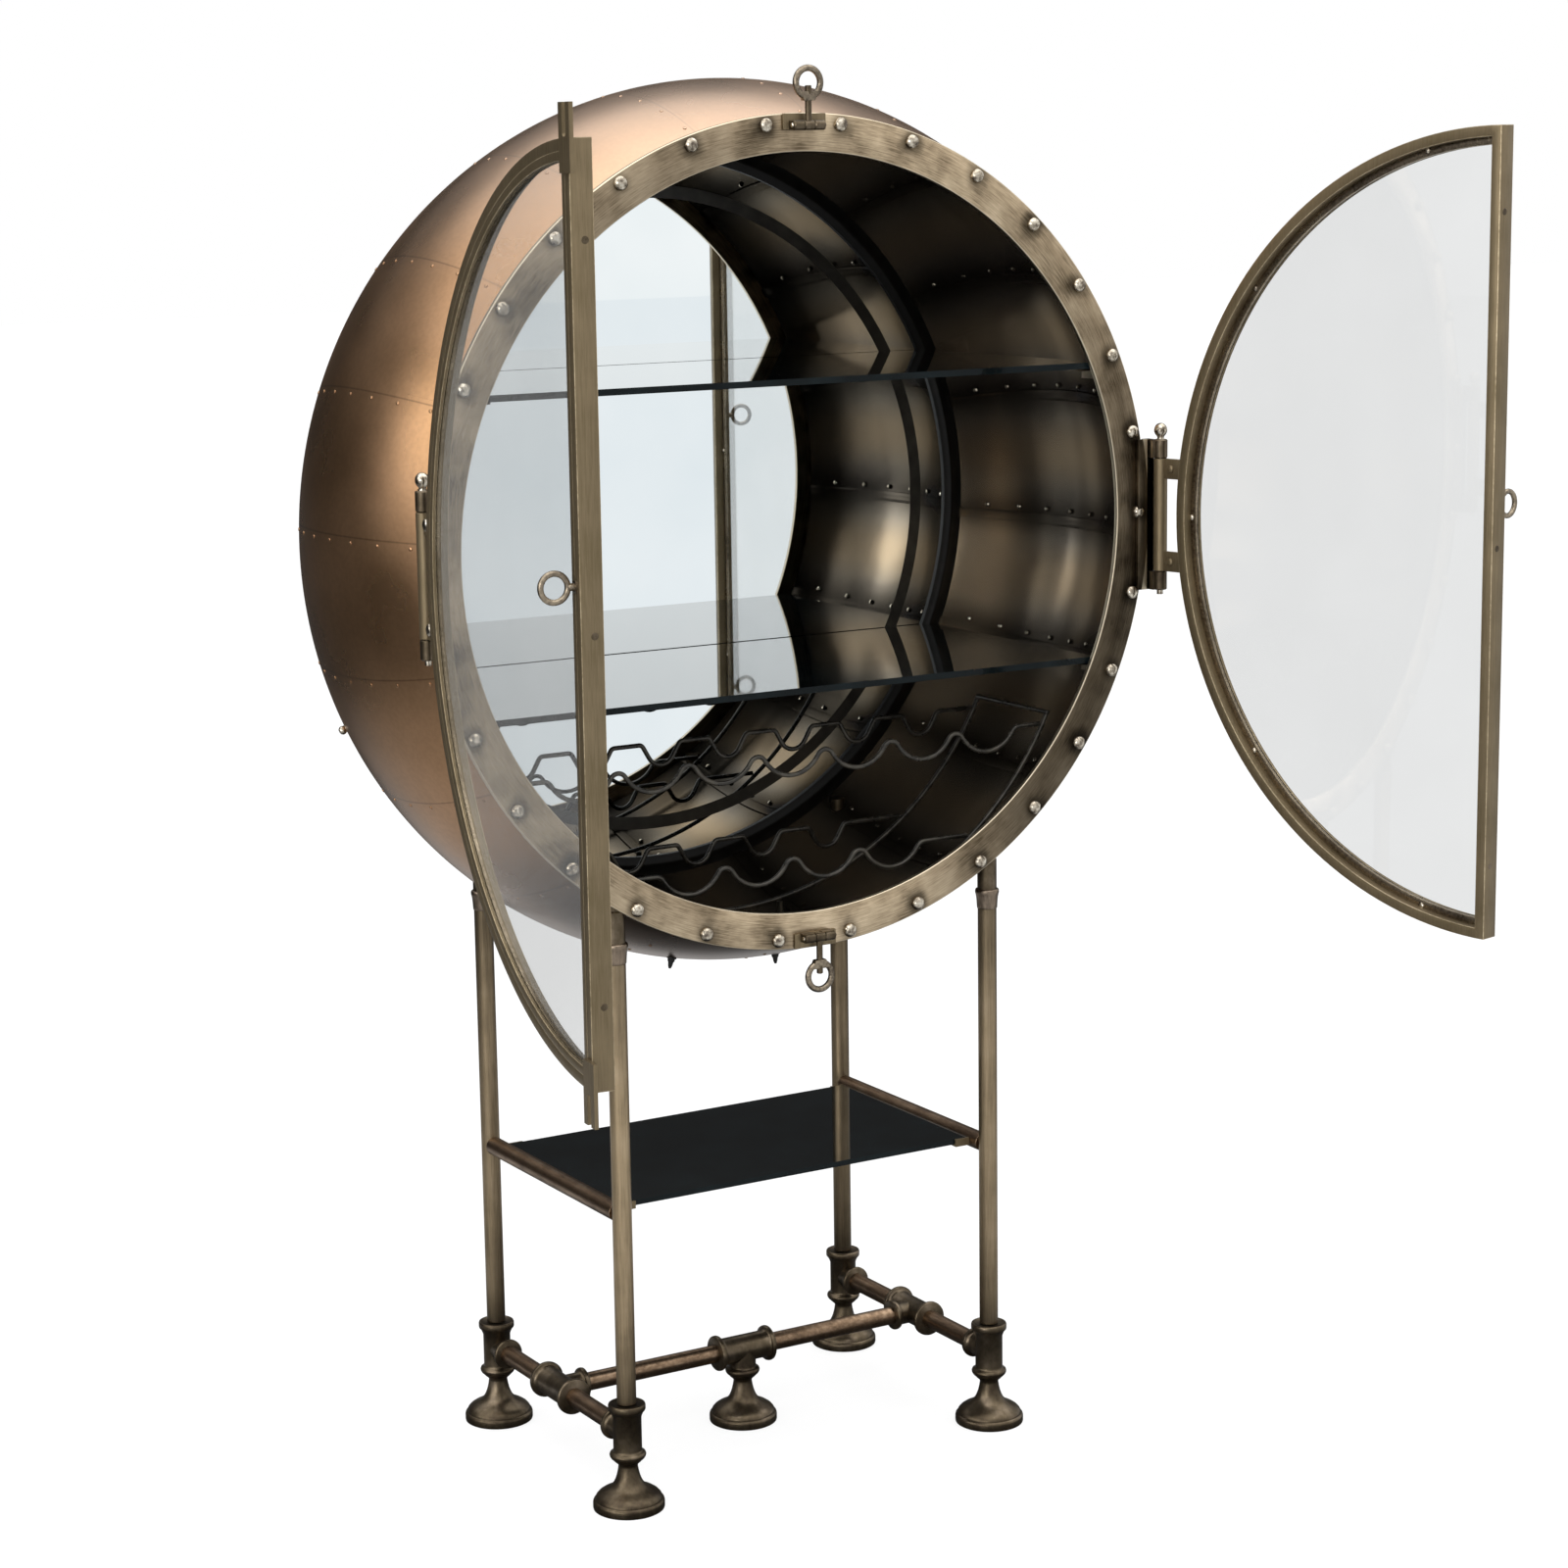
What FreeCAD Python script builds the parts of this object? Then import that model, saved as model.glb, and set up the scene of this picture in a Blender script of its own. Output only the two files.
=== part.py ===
import FreeCAD
import Part

import math
import os

# Porthole wine cabinet: a barrel shaped drum on a pipe stand, millimetres, +Z up.
# The origin is on the floor under the middle foot, and the round front faces -Y.

# Drum
axis_height = 1198.0
ring_face_y = -200.0
ring_outer_r = 512.0
ring_inner_r = 466.0
ring_thickness = 6.0
bolt_circle_r = 500.0
bolt_count = 30
bolt_head_d = 18.0
bolt_head_h = 7.0
bolt_head_sides = 8
bolt_head_steps = ((1.0, 0.0), (0.82, 0.6), (0.35, 1.0))
shell_depth = 393.0
shell_end_r = 490.0
shell_belly_r = 556.0
shell_sheet = 2.5
panel_count = 20
seam_start_deg = -3.0
flats_per_panel = 2
flats_front_to_back = 8
back_ring_inner_r = 463.0
back_ring_lip = 2.0
back_ring_thickness = 4.0
mirror_inset = 4.0
mirror_thickness = 5.0
back_panel_thickness = 5.0

# Fits
seat_gap = 0.3
pin_clearance = 0.15

# Glass shelves in the drum
shelf_thickness = 8.0
shelf_half_width = 440.0
shelf_front_gap = 4.0
upper_shelf_top = 195.0
middle_shelf_top = -185.0
shelf_bracket_width = 30.0
shelf_bracket_sheet = 3.0
shelf_bracket_under = 25.0
shelf_bracket_inset = 22.0
shelf_bracket_drop = 14.0

# Bottle rack
wire_d = 6.0
bend_flat_deg = 30.0
bottle_pitch = 98.4
wave_height = 28.0
wave_peak_r = 12.0
rack_front_inset = 49.0
rack_back_inset = 209.0
hoop_half_width = 388.0
hoop_end_z = -262.0
hoop_bottom_z = -503.0
upper_wave_z = -273.0
lower_wave_z = -408.0
wire_lead = 0.6
neck_flat = 43.0
neck_slope_deg = 60.0
neck_corner_r = 7.0
standoff_d = 8.0
standoff_x = 75.0

# Doors
door_r = 485.0
door_depth = 25.0
door_gap = 2.0
door_meeting_gap = 2.0
door_stile = 25.0
door_rim = 22.0
door_lip = 4.0
door_rebate = 9.0
door_glass_thickness = 4.0
door_bead_depth = 4.0
left_open_deg = 96.5
right_open_deg = 103.0

# Hinges
hinge_x = 523.0
hinge_from_front = 11.0
hinge_drop = 4.0
hinge_barrel_d = 18.0
hinge_barrel_len = 146.0
hinge_knuckle_len = 24.0
hinge_joint_gap = 0.5
hinge_pin_d = 8.0
hinge_pin_tail = 6.0
finial_d = 17.0
finial_neck_d = 9.0
finial_neck_h = 4.0
finial_steps = ((0.6, 0.0), (1.0, 0.35), (1.0, 0.65), (0.6, 1.0))
finial_sides = 12
hinge_plate_out = 8.0
hinge_plate_in = 17.0
hinge_web = 8.0
hinge_plate_clearance = 0.7
hinge_arm_height = 26.0
hinge_arm_thickness = 6.0

# Rings of the eye handles and eye nuts
ring_bar_sides = 6
ring_flats = 16

# Eye handles on the door stiles
handle_od = 36.0
handle_wire_d = 6.5
handle_shank_d = 8.0
handle_shank_len = 5.0
handle_height = 40.0

# Swing bolts at the top and bottom of the ring
dog_pivot_r = 497.0
dog_pivot_out = 12.0
dog_knuckle_d = 12.0
dog_knuckle_len = 15.0
dog_barrel_len = 13.0
dog_side_gap = 0.4
dog_pin_d = 6.0
dog_pin_head = 2.0
dog_shank_d = 8.0
dog_nut_stop = 28.5
dog_thread_past_nut = 6.6
dog_plate_length = 60.0
dog_plate_height = 19.0
dog_plate_below_pivot = 5.0
dog_plate_thickness = 3.0
nut_boss_d = 16.0
nut_boss_h = 11.5
nut_eye_od = 42.0
nut_eye_wire_d = 8.0
nut_eye_lift = 0.5
keeper_width = 30.0
keeper_thickness = 5.0
keeper_slot = 10.0
keeper_overlap = 35.0
keeper_reach = 34.0
keeper_slot_depth = 29.0
keeper_relief = 0.5

# Stand
leg_x = 272.0
leg_y = 183.0
leg_d = 24.4
tube_wall = 2.0
leg_top_below_wall = 78.3
socket_foot_d = 26.0
socket_collar_d = 31.0
socket_collar_h = 25.5
socket_rim_h = 5.0
socket_stub_d = 25.0
trim_reach = 60.0
foot_height = 64.0
foot_base_d = 90.0
foot_base_h = 8.0
foot_neck_d = 24.0
foot_top_d = 38.0
foot_bead_h = 7.0
foot_sides = 16
pipe_sides = 12
foot_bell_steps = ((0.87, 0.16), (0.66, 0.28), (0.3, 0.38), (0.08, 0.7), (0.0, 1.0))
tee_top_z = 137.0
tee_body_d = 36.0
tee_rim_d = 47.0
tee_rim_h = 10.0
branch_z = 99.5
branch_d = 30.0
branch_rim_d = 40.0
branch_rim_w = 8.0
branch_reach = 36.0
run_half = 41.0
stretcher_d = 24.0
rail_z = 381.0
rail_d = 24.0
base_shelf_top = 386.0
base_shelf_thickness = 7.0
base_shelf_side_gap = 0.6
base_shelf_short_of_legs = 29.0
base_tab_width = 22.0
base_tab_reach = 21.0
base_tab_sheet = 3.0

# Planes and radii that follow from the sizes above
shell_front_y = ring_face_y + ring_thickness
shell_back_y = shell_front_y + shell_depth
shell_mid_y = (shell_front_y + shell_back_y) / 2
shell_bulge = shell_belly_r - shell_end_r
shell_arc_r = ((shell_depth / 2) ** 2 + shell_bulge ** 2) / (2 * shell_bulge)
shell_arc_centre_r = shell_belly_r - shell_arc_r
flat_deg = 360 / (panel_count * flats_per_panel)
back_ring_outer_r = shell_end_r + back_ring_lip
mirror_face_y = shell_back_y + back_ring_thickness
door_back_y = ring_face_y - door_gap
door_front_y = door_back_y - door_depth
hinge_y = door_front_y + hinge_from_front
hinge_z = axis_height - hinge_drop
dog_pivot_y = ring_face_y - dog_pivot_out
base_shelf_half_width = leg_x - rail_d / 2 - base_shelf_side_gap
base_shelf_half_depth = leg_y - base_shelf_short_of_legs

parts = {}


def vec(x, y, z):
    return FreeCAD.Vector(x, y, z)


across = vec(1, 0, 0)
inward = vec(0, 1, 0)
upright = vec(0, 0, 1)


def box(x0, x1, y0, y1, z0, z1):
    return Part.makeBox(x1 - x0, y1 - y0, z1 - z0, vec(x0, y0, z0))


def rod(start, end, diameter):
    along = end.sub(start)
    return Part.makeCylinder(diameter / 2, along.Length, start, along)


# A solid with flat faces between stations that have equally many corners
def skinned(stations, closed=False):
    rows = stations + stations[:1] if closed else stations
    outlines = [] if closed else [stations[0], stations[-1]]
    for low, high in zip(rows, rows[1:]):
        for i in range(len(low)):
            outlines.append([low[i - 1], low[i], high[i], high[i - 1]])
    faces = [Part.Face(Part.makePolygon(outline + outline[:1])) for outline in outlines]
    solid = Part.makeSolid(Part.makeShell(faces))
    return solid if solid.Volume > 0 else solid.reversed()


# Corners of a regular polygon about +Z
def corners(radius, sides, height):
    turns = [2 * math.pi * i / sides for i in range(sides)]
    return [vec(radius * math.cos(a), radius * math.sin(a), height) for a in turns]


# A turned shape with flat sides, from radii and heights
def flat_turned(outline, sides):
    return skinned([corners(radius, sides, height) for radius, height in outline])


def bar(start, end, diameter):
    along = end.sub(start)
    shape = flat_turned(((diameter / 2, 0), (diameter / 2, along.Length)), pipe_sides)
    shape.Placement = FreeCAD.Placement(start, FreeCAD.Rotation(upright, along))
    return shape


def pipe(start, end, diameter):
    return bar(start, end, diameter).cut(bar(start, end, diameter - 2 * tube_wall))


def drum_disc(radius, y0, y1):
    return Part.makeCylinder(radius, y1 - y0, vec(0, y0, axis_height), inward)


def drum_ring(outer_r, inner_r, y0, y1):
    return drum_disc(outer_r, y0, y1).cut(drum_disc(inner_r, y0, y1))


def mirrored(shape):
    return shape.mirror(vec(0, 0, 0), across)


# Barrel surface: an arc through both drum ends and the belly, offset outwards
def barrel_radius(offset, y):
    return shell_arc_centre_r + math.sqrt((shell_arc_r + offset) ** 2 - (y - shell_mid_y) ** 2)


# Height of the drum's underside above a point of the floor
def wall_height(x, y):
    return axis_height - math.sqrt(barrel_radius(0, y) ** 2 - x ** 2)


def meridian(inner, outer, deg):
    steps = range(flats_front_to_back + 1)
    depths = [shell_front_y + shell_depth * i / flats_front_to_back for i in steps]
    outline = [vec(barrel_radius(outer, y), y, 0) for y in depths]
    outline += [vec(barrel_radius(inner, y), y, 0) for y in reversed(depths)]
    turn = FreeCAD.Rotation(-inward, deg)
    return [turn.multVec(point).add(vec(0, 0, axis_height)) for point in outline]


# A piece of the barrel wall, bent in flats both ways
def barrel_band(inner, outer, start_deg, flats):
    stations = [meridian(inner, outer, start_deg + i * flat_deg) for i in range(flats + 1)]
    return skinned(stations)


def barrel_wall(inner, outer):
    count = panel_count * flats_per_panel
    return [barrel_band(inner, outer, seam_start_deg + i * flat_deg, 1) for i in range(count)]


def trimmed(shape, wall):
    return shape.cut([band for band in wall if band.BoundBox.intersect(shape.BoundBox)])


def make_shell():
    groups = ("right", "top", "left", "bottom")
    per_group = panel_count // len(groups)
    pitch = flats_per_panel * flat_deg
    first = seam_start_deg - pitch * (per_group // 2)
    for g, name in enumerate(groups):
        starts = [first + pitch * (g * per_group + i) for i in range(per_group)]
        panels = [barrel_band(-shell_sheet, 0, deg, flats_per_panel) for deg in starts]
        parts["shell_panels_" + name] = Part.makeCompound(panels)


def make_rings():
    parts["front_ring"] = drum_ring(ring_outer_r, ring_inner_r, ring_face_y, shell_front_y)
    parts["back_ring"] = drum_ring(back_ring_outer_r, back_ring_inner_r, shell_back_y, mirror_face_y)
    mirror_back_y = mirror_face_y + mirror_thickness
    parts["mirror"] = drum_disc(shell_end_r - mirror_inset, mirror_face_y, mirror_back_y)
    panel_back_y = mirror_back_y + back_panel_thickness
    parts["back_panel"] = drum_disc(back_ring_outer_r, mirror_back_y, panel_back_y)


def make_ring_bolts():
    outline = [(width * bolt_head_d / 2, height * bolt_head_h) for width, height in bolt_head_steps]
    head = flat_turned(outline, bolt_head_sides)
    head.Placement = FreeCAD.Placement(vec(bolt_circle_r, ring_face_y, axis_height),
                                       FreeCAD.Rotation(upright, -inward))
    bolts = []
    for i in range(bolt_count):
        bolt = head.copy()
        bolt.rotate(vec(0, 0, axis_height), -inward, i * 360 / bolt_count)
        bolts.append(bolt)
    parts["ring_bolts"] = Part.makeCompound(bolts)


# Each shelf rests on four strips that reach out to the drum wall
def make_shelves(lining):
    front_y = shell_front_y + shelf_front_gap
    back_y = shell_back_y - seat_gap
    for name, top in (("upper", upper_shelf_top), ("middle", middle_shelf_top)):
        z = axis_height + top
        under = z - shelf_thickness
        parts[name + "_shelf"] = box(-shelf_half_width, shelf_half_width, front_y, back_y, under, z)
        strips = []
        for y in (front_y + shelf_bracket_inset, back_y - shelf_bracket_inset):
            y0 = y - shelf_bracket_width / 2
            y1 = y + shelf_bracket_width / 2
            x0 = shelf_half_width - shelf_bracket_under
            flat = box(x0, shell_belly_r, y0, y1, under - shelf_bracket_sheet, under)
            leg = box(shelf_half_width, shell_belly_r, y0, y1, under - shelf_bracket_drop, under)
            hollow = box(shelf_half_width, shelf_half_width + shelf_bracket_sheet, y0, y1,
                         under - shelf_bracket_drop, under - shelf_bracket_sheet)
            strip = flat.fuse(leg.cut(hollow))
            for side in (strip, mirrored(strip)):
                strips.extend(trimmed(side, lining).removeSplitter().Solids)
        parts[name + "_shelf_brackets"] = Part.makeCompound(strips)


# The hoop's centre lies on the drum's middle line, below the axis
def hoop_circle():
    span = hoop_half_width ** 2 + hoop_end_z ** 2 - hoop_bottom_z ** 2
    centre_z = span / (2 * (hoop_end_z - hoop_bottom_z))
    return centre_z, centre_z - hoop_bottom_z


def hoop_x(z, radius):
    centre_z = hoop_circle()[0]
    return math.sqrt(radius ** 2 - (z - centre_z) ** 2)


# Corners of a bar that is set on edge in an upright plane
def bar_corners(point, out, spread):
    side = inward * (wire_d / 2)
    return [point.add(side), point.add(out * spread), point.sub(side), point.sub(out * spread)]


# A wire bent in short flats, mitred at each bend
def bent_wire(points):
    runs = [after.sub(before).normalize() for before, after in zip(points, points[1:])]
    stations = []
    for point, before, after in zip(points, runs[:1] + runs, runs + runs[-1:]):
        along = before.add(after).normalize()
        stations.append(bar_corners(point, inward.cross(along), wire_d / 2 / along.dot(after)))
    return skinned(stations)


def hoop_bar(y):
    ends = (-hoop_half_width, hoop_end_z), (0, hoop_bottom_z), (hoop_half_width, hoop_end_z)
    arc = Part.Arc(*(rack_point(x, y, z) for x, z in ends)).toShape()
    start = rack_point(-hoop_half_width, y, hoop_end_z)
    out = start.sub(rack_point(0, y, hoop_circle()[0])).normalize()
    section = bar_corners(start, out, wire_d / 2)
    return Part.Wire(arc).makePipeShell([Part.makePolygon(section + section[:1])], True, False).Solids[0]


def rack_point(x, y, z):
    return vec(x, y, axis_height + z)


# Points on an arc of a wire, in flats of about the same turn
def bend(x, z, radius, start_deg, end_deg):
    count = math.ceil(abs(end_deg - start_deg) / bend_flat_deg)
    turns = [math.radians(start_deg + (end_deg - start_deg) * i / count) for i in range(count + 1)]
    return [(x + radius * math.cos(a), z + radius * math.sin(a)) for a in turns]


# Round bottle cradles: one wide trough arc and one tight peak arc per half pitch
def cradle_bends(top_z):
    half = bottle_pitch / 2
    turn = 2 * math.atan(wave_height / half)
    deg = math.degrees(turn)
    trough_r = half / math.sin(turn) - wave_peak_r
    peak_z = top_z - wave_peak_r
    outline = bend(-half, peak_z, wave_peak_r, 90, 90 - deg)[:-1]
    outline += bend(0, top_z - wave_height + trough_r, trough_r, 270 - deg, 270 + deg)
    return outline + bend(half, peak_z, wave_peak_r, 90 + deg, 90)[1:]


# Neck cradles: a flat top, a rounded corner, a straight slope and a round trough
def neck_bends(top_z):
    slope = math.radians(neck_slope_deg)
    reach = (bottle_pitch - neck_flat) / 2
    rise = math.tan(slope / 2)
    run = (wave_height - reach * rise) / (math.sin(slope) - math.cos(slope) * rise)
    trough_r = (reach - run * math.cos(slope)) / math.sin(slope)
    corner_x = reach + neck_corner_r * rise
    corner_z = top_z - neck_corner_r
    outline = bend(-corner_x, corner_z, neck_corner_r, 90, 90 - neck_slope_deg)
    outline += bend(0, top_z - wave_height + trough_r, trough_r, 270 - neck_slope_deg, 270 + neck_slope_deg)
    return outline + bend(corner_x, corner_z, neck_corner_r, 90 + neck_slope_deg, 90)


# A row of cradles with a straight lead at each end
def cradle_wire(y, top_z, bends):
    bottles = cradle_count(top_z)
    points = [rack_point(-wire_end(top_z), y, top_z)]
    for i in range(bottles):
        middle = (i - (bottles - 1) / 2) * bottle_pitch
        for x, z in bends:
            point = rack_point(middle + x, y, z)
            if point.distanceToPoint(points[-1]) > seat_gap:
                points.append(point)
    points.append(rack_point(wire_end(top_z), y, top_z))
    return bent_wire(points)


# A cradle wire stops just short of the hoop that it is welded to
def wire_end(z):
    inner_r = hoop_circle()[1] - wire_d / 2 - seat_gap
    return hoop_x(z - wire_d / 2, inner_r)


# As many cradles as fit between the hoop's sides, with a straight lead at each end
def cradle_count(z):
    return int((2 * wire_end(z) - wire_lead * bottle_pitch) / bottle_pitch)


def make_rack(lining):
    front_y = ring_face_y + rack_front_inset
    back_y = ring_face_y + rack_back_inset
    centre_z, hoop_r = hoop_circle()
    for name, y, bends in (("front", front_y, cradle_bends), ("back", back_y, neck_bends)):
        parts["rack_" + name + "_hoop"] = hoop_bar(y)
        for level, top_z in (("upper", upper_wave_z), ("lower", lower_wave_z)):
            parts["rack_" + name + "_" + level + "_wire"] = cradle_wire(y, top_z, bends(top_z))
    # Tie rods lie across the hoop ends, and standoffs carry the hoops on the drum wall
    lift = wire_d / 2 + seat_gap
    tie_x = hoop_half_width - lift * (hoop_end_z - centre_z) / hoop_r
    tie_z = hoop_end_z + lift * hoop_half_width / hoop_r
    ties = []
    posts = []
    for side in (-1, 1):
        ties.append(rod(rack_point(side * tie_x, front_y - wire_d / 2, tie_z),
                        rack_point(side * tie_x, back_y + wire_d / 2, tie_z), wire_d))
        inner_x = standoff_x - standoff_d / 2
        top_z = centre_z - math.sqrt((hoop_r + wire_d / 2) ** 2 - inner_x ** 2) - seat_gap
        for y in (front_y, back_y):
            post = bar(rack_point(side * standoff_x, y, top_z),
                       rack_point(side * standoff_x, y, -shell_belly_r), standoff_d)
            posts.extend(trimmed(post, lining).Solids)
    parts["rack_tie_rods"] = Part.makeCompound(ties)
    parts["rack_standoffs"] = Part.makeCompound(posts)


def half_disc(radius, x0, y0, y1):
    tip = math.sqrt(radius ** 2 - x0 ** 2)
    low = vec(x0, y0, axis_height - tip)
    high = vec(x0, y0, axis_height + tip)
    edges = [Part.makeLine(high, low), Part.Arc(low, vec(radius, y0, axis_height), high).toShape()]
    return Part.Face(Part.Wire(edges)).extrude(vec(0, y1 - y0, 0))


def hinge_span():
    low = hinge_z - hinge_barrel_len / 2
    return low, low + hinge_barrel_len


# Hinge strap: the moving barrel with an arm near each end that meets the door's rim
def hinge_strap():
    low, high = hinge_span()
    barrel = rod(vec(hinge_x, hinge_y, low), vec(hinge_x, hinge_y, high), hinge_barrel_d)
    y0 = hinge_y - hinge_arm_thickness / 2
    y1 = hinge_y + hinge_arm_thickness / 2
    for z in (low, high - hinge_arm_height):
        arm = box(door_r / 2, hinge_x, y0, y1, z, z + hinge_arm_height)
        barrel = barrel.fuse(arm.cut(drum_disc(door_r + seat_gap, y0, y1)))
    bore = hinge_pin_d + 2 * pin_clearance
    return barrel.cut(rod(vec(hinge_x, hinge_y, low), vec(hinge_x, hinge_y, high), bore)).removeSplitter()


# A ring of bar, bent in short flats
def eye_ring(centre, axis, ring_r, bar_d):
    section = [vec(ring_r + point.x, 0, point.y) for point in corners(bar_d / 2, ring_bar_sides, 0)]
    stations = []
    for i in range(ring_flats):
        turn = FreeCAD.Rotation(upright, 360 * i / ring_flats)
        stations.append([turn.multVec(point) for point in section])
    ring = skinned(stations, True)
    ring.Placement = FreeCAD.Placement(centre, FreeCAD.Rotation(upright, axis))
    return ring


def eye_handle():
    x = (door_meeting_gap + door_stile) / 2
    z = axis_height + handle_height
    ring_r = (handle_od - handle_wire_d) / 2
    ring_y = door_front_y - handle_shank_len - handle_od / 2
    ring = eye_ring(vec(x, ring_y, z), across, ring_r, handle_wire_d)
    shank = bar(vec(x, door_front_y, z), vec(x, ring_y + ring_r, z), handle_shank_d)
    return ring.fuse(shank).removeSplitter()


# Slotted keeper tab on the left door's face, with a relief where it laps the right door
def keeper(end):
    edge_z = axis_height + end * door_r
    z0 = edge_z - end * keeper_overlap
    z1 = edge_z + end * keeper_reach
    y0 = door_front_y - keeper_thickness
    slot_z = z1 - end * keeper_slot_depth
    tab = box(-keeper_width / 2, keeper_width / 2, y0, door_front_y, min(z0, z1), max(z0, z1))
    slot = box(-keeper_slot / 2, keeper_slot / 2, y0, door_front_y, min(slot_z, z1), max(slot_z, z1))
    root = rod(vec(0, y0, slot_z), vec(0, door_front_y, slot_z), keeper_slot)
    relief_y = door_front_y - keeper_relief
    relief = box(0, keeper_width / 2, relief_y, door_front_y, min(z0, z1), max(z0, z1))
    return tab.cut([slot, root, relief])


def door_pieces():
    meet_x = door_meeting_gap / 2
    open_x = meet_x + door_stile
    open_r = door_r - door_rim
    seat_r = open_r + door_rebate
    seat_x = open_x - door_rebate
    glass_y = door_front_y + door_lip
    bead_y = glass_y + door_glass_thickness
    frame = half_disc(door_r, meet_x, door_front_y, door_back_y)
    frame = frame.cut(half_disc(open_r, open_x, door_front_y, door_back_y))
    frame = frame.cut(half_disc(seat_r, seat_x, glass_y, door_back_y))
    glass = half_disc(seat_r - seat_gap, seat_x + seat_gap, glass_y, bead_y)
    bead = half_disc(seat_r - seat_gap, seat_x + seat_gap, bead_y, bead_y + door_bead_depth)
    bead = bead.cut(half_disc(open_r, open_x, bead_y, bead_y + door_bead_depth))
    door = {"frame": frame, "glass": glass, "bead": bead}
    door["hinge_strap"] = hinge_strap()
    door["handle"] = eye_handle()
    return door


def make_doors():
    right = door_pieces()
    left = {name: mirrored(shape) for name, shape in right.items()}
    left["keepers"] = Part.makeCompound([keeper(1), keeper(-1)])
    swings = (("left", left, -hinge_x, -left_open_deg), ("right", right, hinge_x, right_open_deg))
    for side, door, x, turn in swings:
        for name, shape in door.items():
            shape.rotate(vec(x, hinge_y, 0), upright, turn)
            parts[side + "_door_" + name] = shape


# Fixed half of a hinge: two knuckles on a plate that fits the ring's edge
def hinge_plate():
    low, high = hinge_span()
    bottom = low - hinge_joint_gap - hinge_knuckle_len
    top = high + hinge_joint_gap + hinge_knuckle_len
    front_y = hinge_y + hinge_barrel_d / 2 + hinge_plate_clearance
    inner_x = ring_outer_r - hinge_plate_in
    outer_x = ring_outer_r + hinge_plate_out
    plate = box(inner_x, outer_x, front_y, shell_front_y, bottom, top)
    plate = plate.cut(drum_disc(ring_outer_r + seat_gap, front_y, shell_front_y))
    for z in (bottom, high + hinge_joint_gap):
        axis = vec(hinge_x, hinge_y, z)
        plate = plate.fuse(rod(axis, axis.add(vec(0, 0, hinge_knuckle_len)), hinge_barrel_d))
        plate = plate.fuse(box(outer_x - hinge_web, outer_x, hinge_y, front_y, z, z + hinge_knuckle_len))
    bore = rod(vec(hinge_x, hinge_y, bottom), vec(hinge_x, hinge_y, top), hinge_pin_d + 2 * pin_clearance)
    return plate.cut(bore).removeSplitter()


def hinge_pin():
    low, high = hinge_span()
    bottom = low - hinge_joint_gap - hinge_knuckle_len - hinge_pin_tail
    top = high + hinge_joint_gap + hinge_knuckle_len
    shaft = rod(vec(hinge_x, hinge_y, bottom), vec(hinge_x, hinge_y, top), hinge_pin_d)
    neck_top = top + finial_neck_h
    neck = bar(vec(hinge_x, hinge_y, top), vec(hinge_x, hinge_y, neck_top), finial_neck_d)
    outline = [(width * finial_d / 2, height * finial_d) for width, height in finial_steps]
    finial = flat_turned(outline, finial_sides)
    finial.translate(vec(hinge_x, hinge_y, neck_top))
    return shaft.fuse([neck, finial]).removeSplitter()


def make_hinges():
    plate = hinge_plate()
    pin = hinge_pin()
    parts["hinge_plates"] = Part.makeCompound([plate, mirrored(plate)])
    parts["hinge_pins"] = Part.makeCompound([pin, mirrored(pin)])


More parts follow.
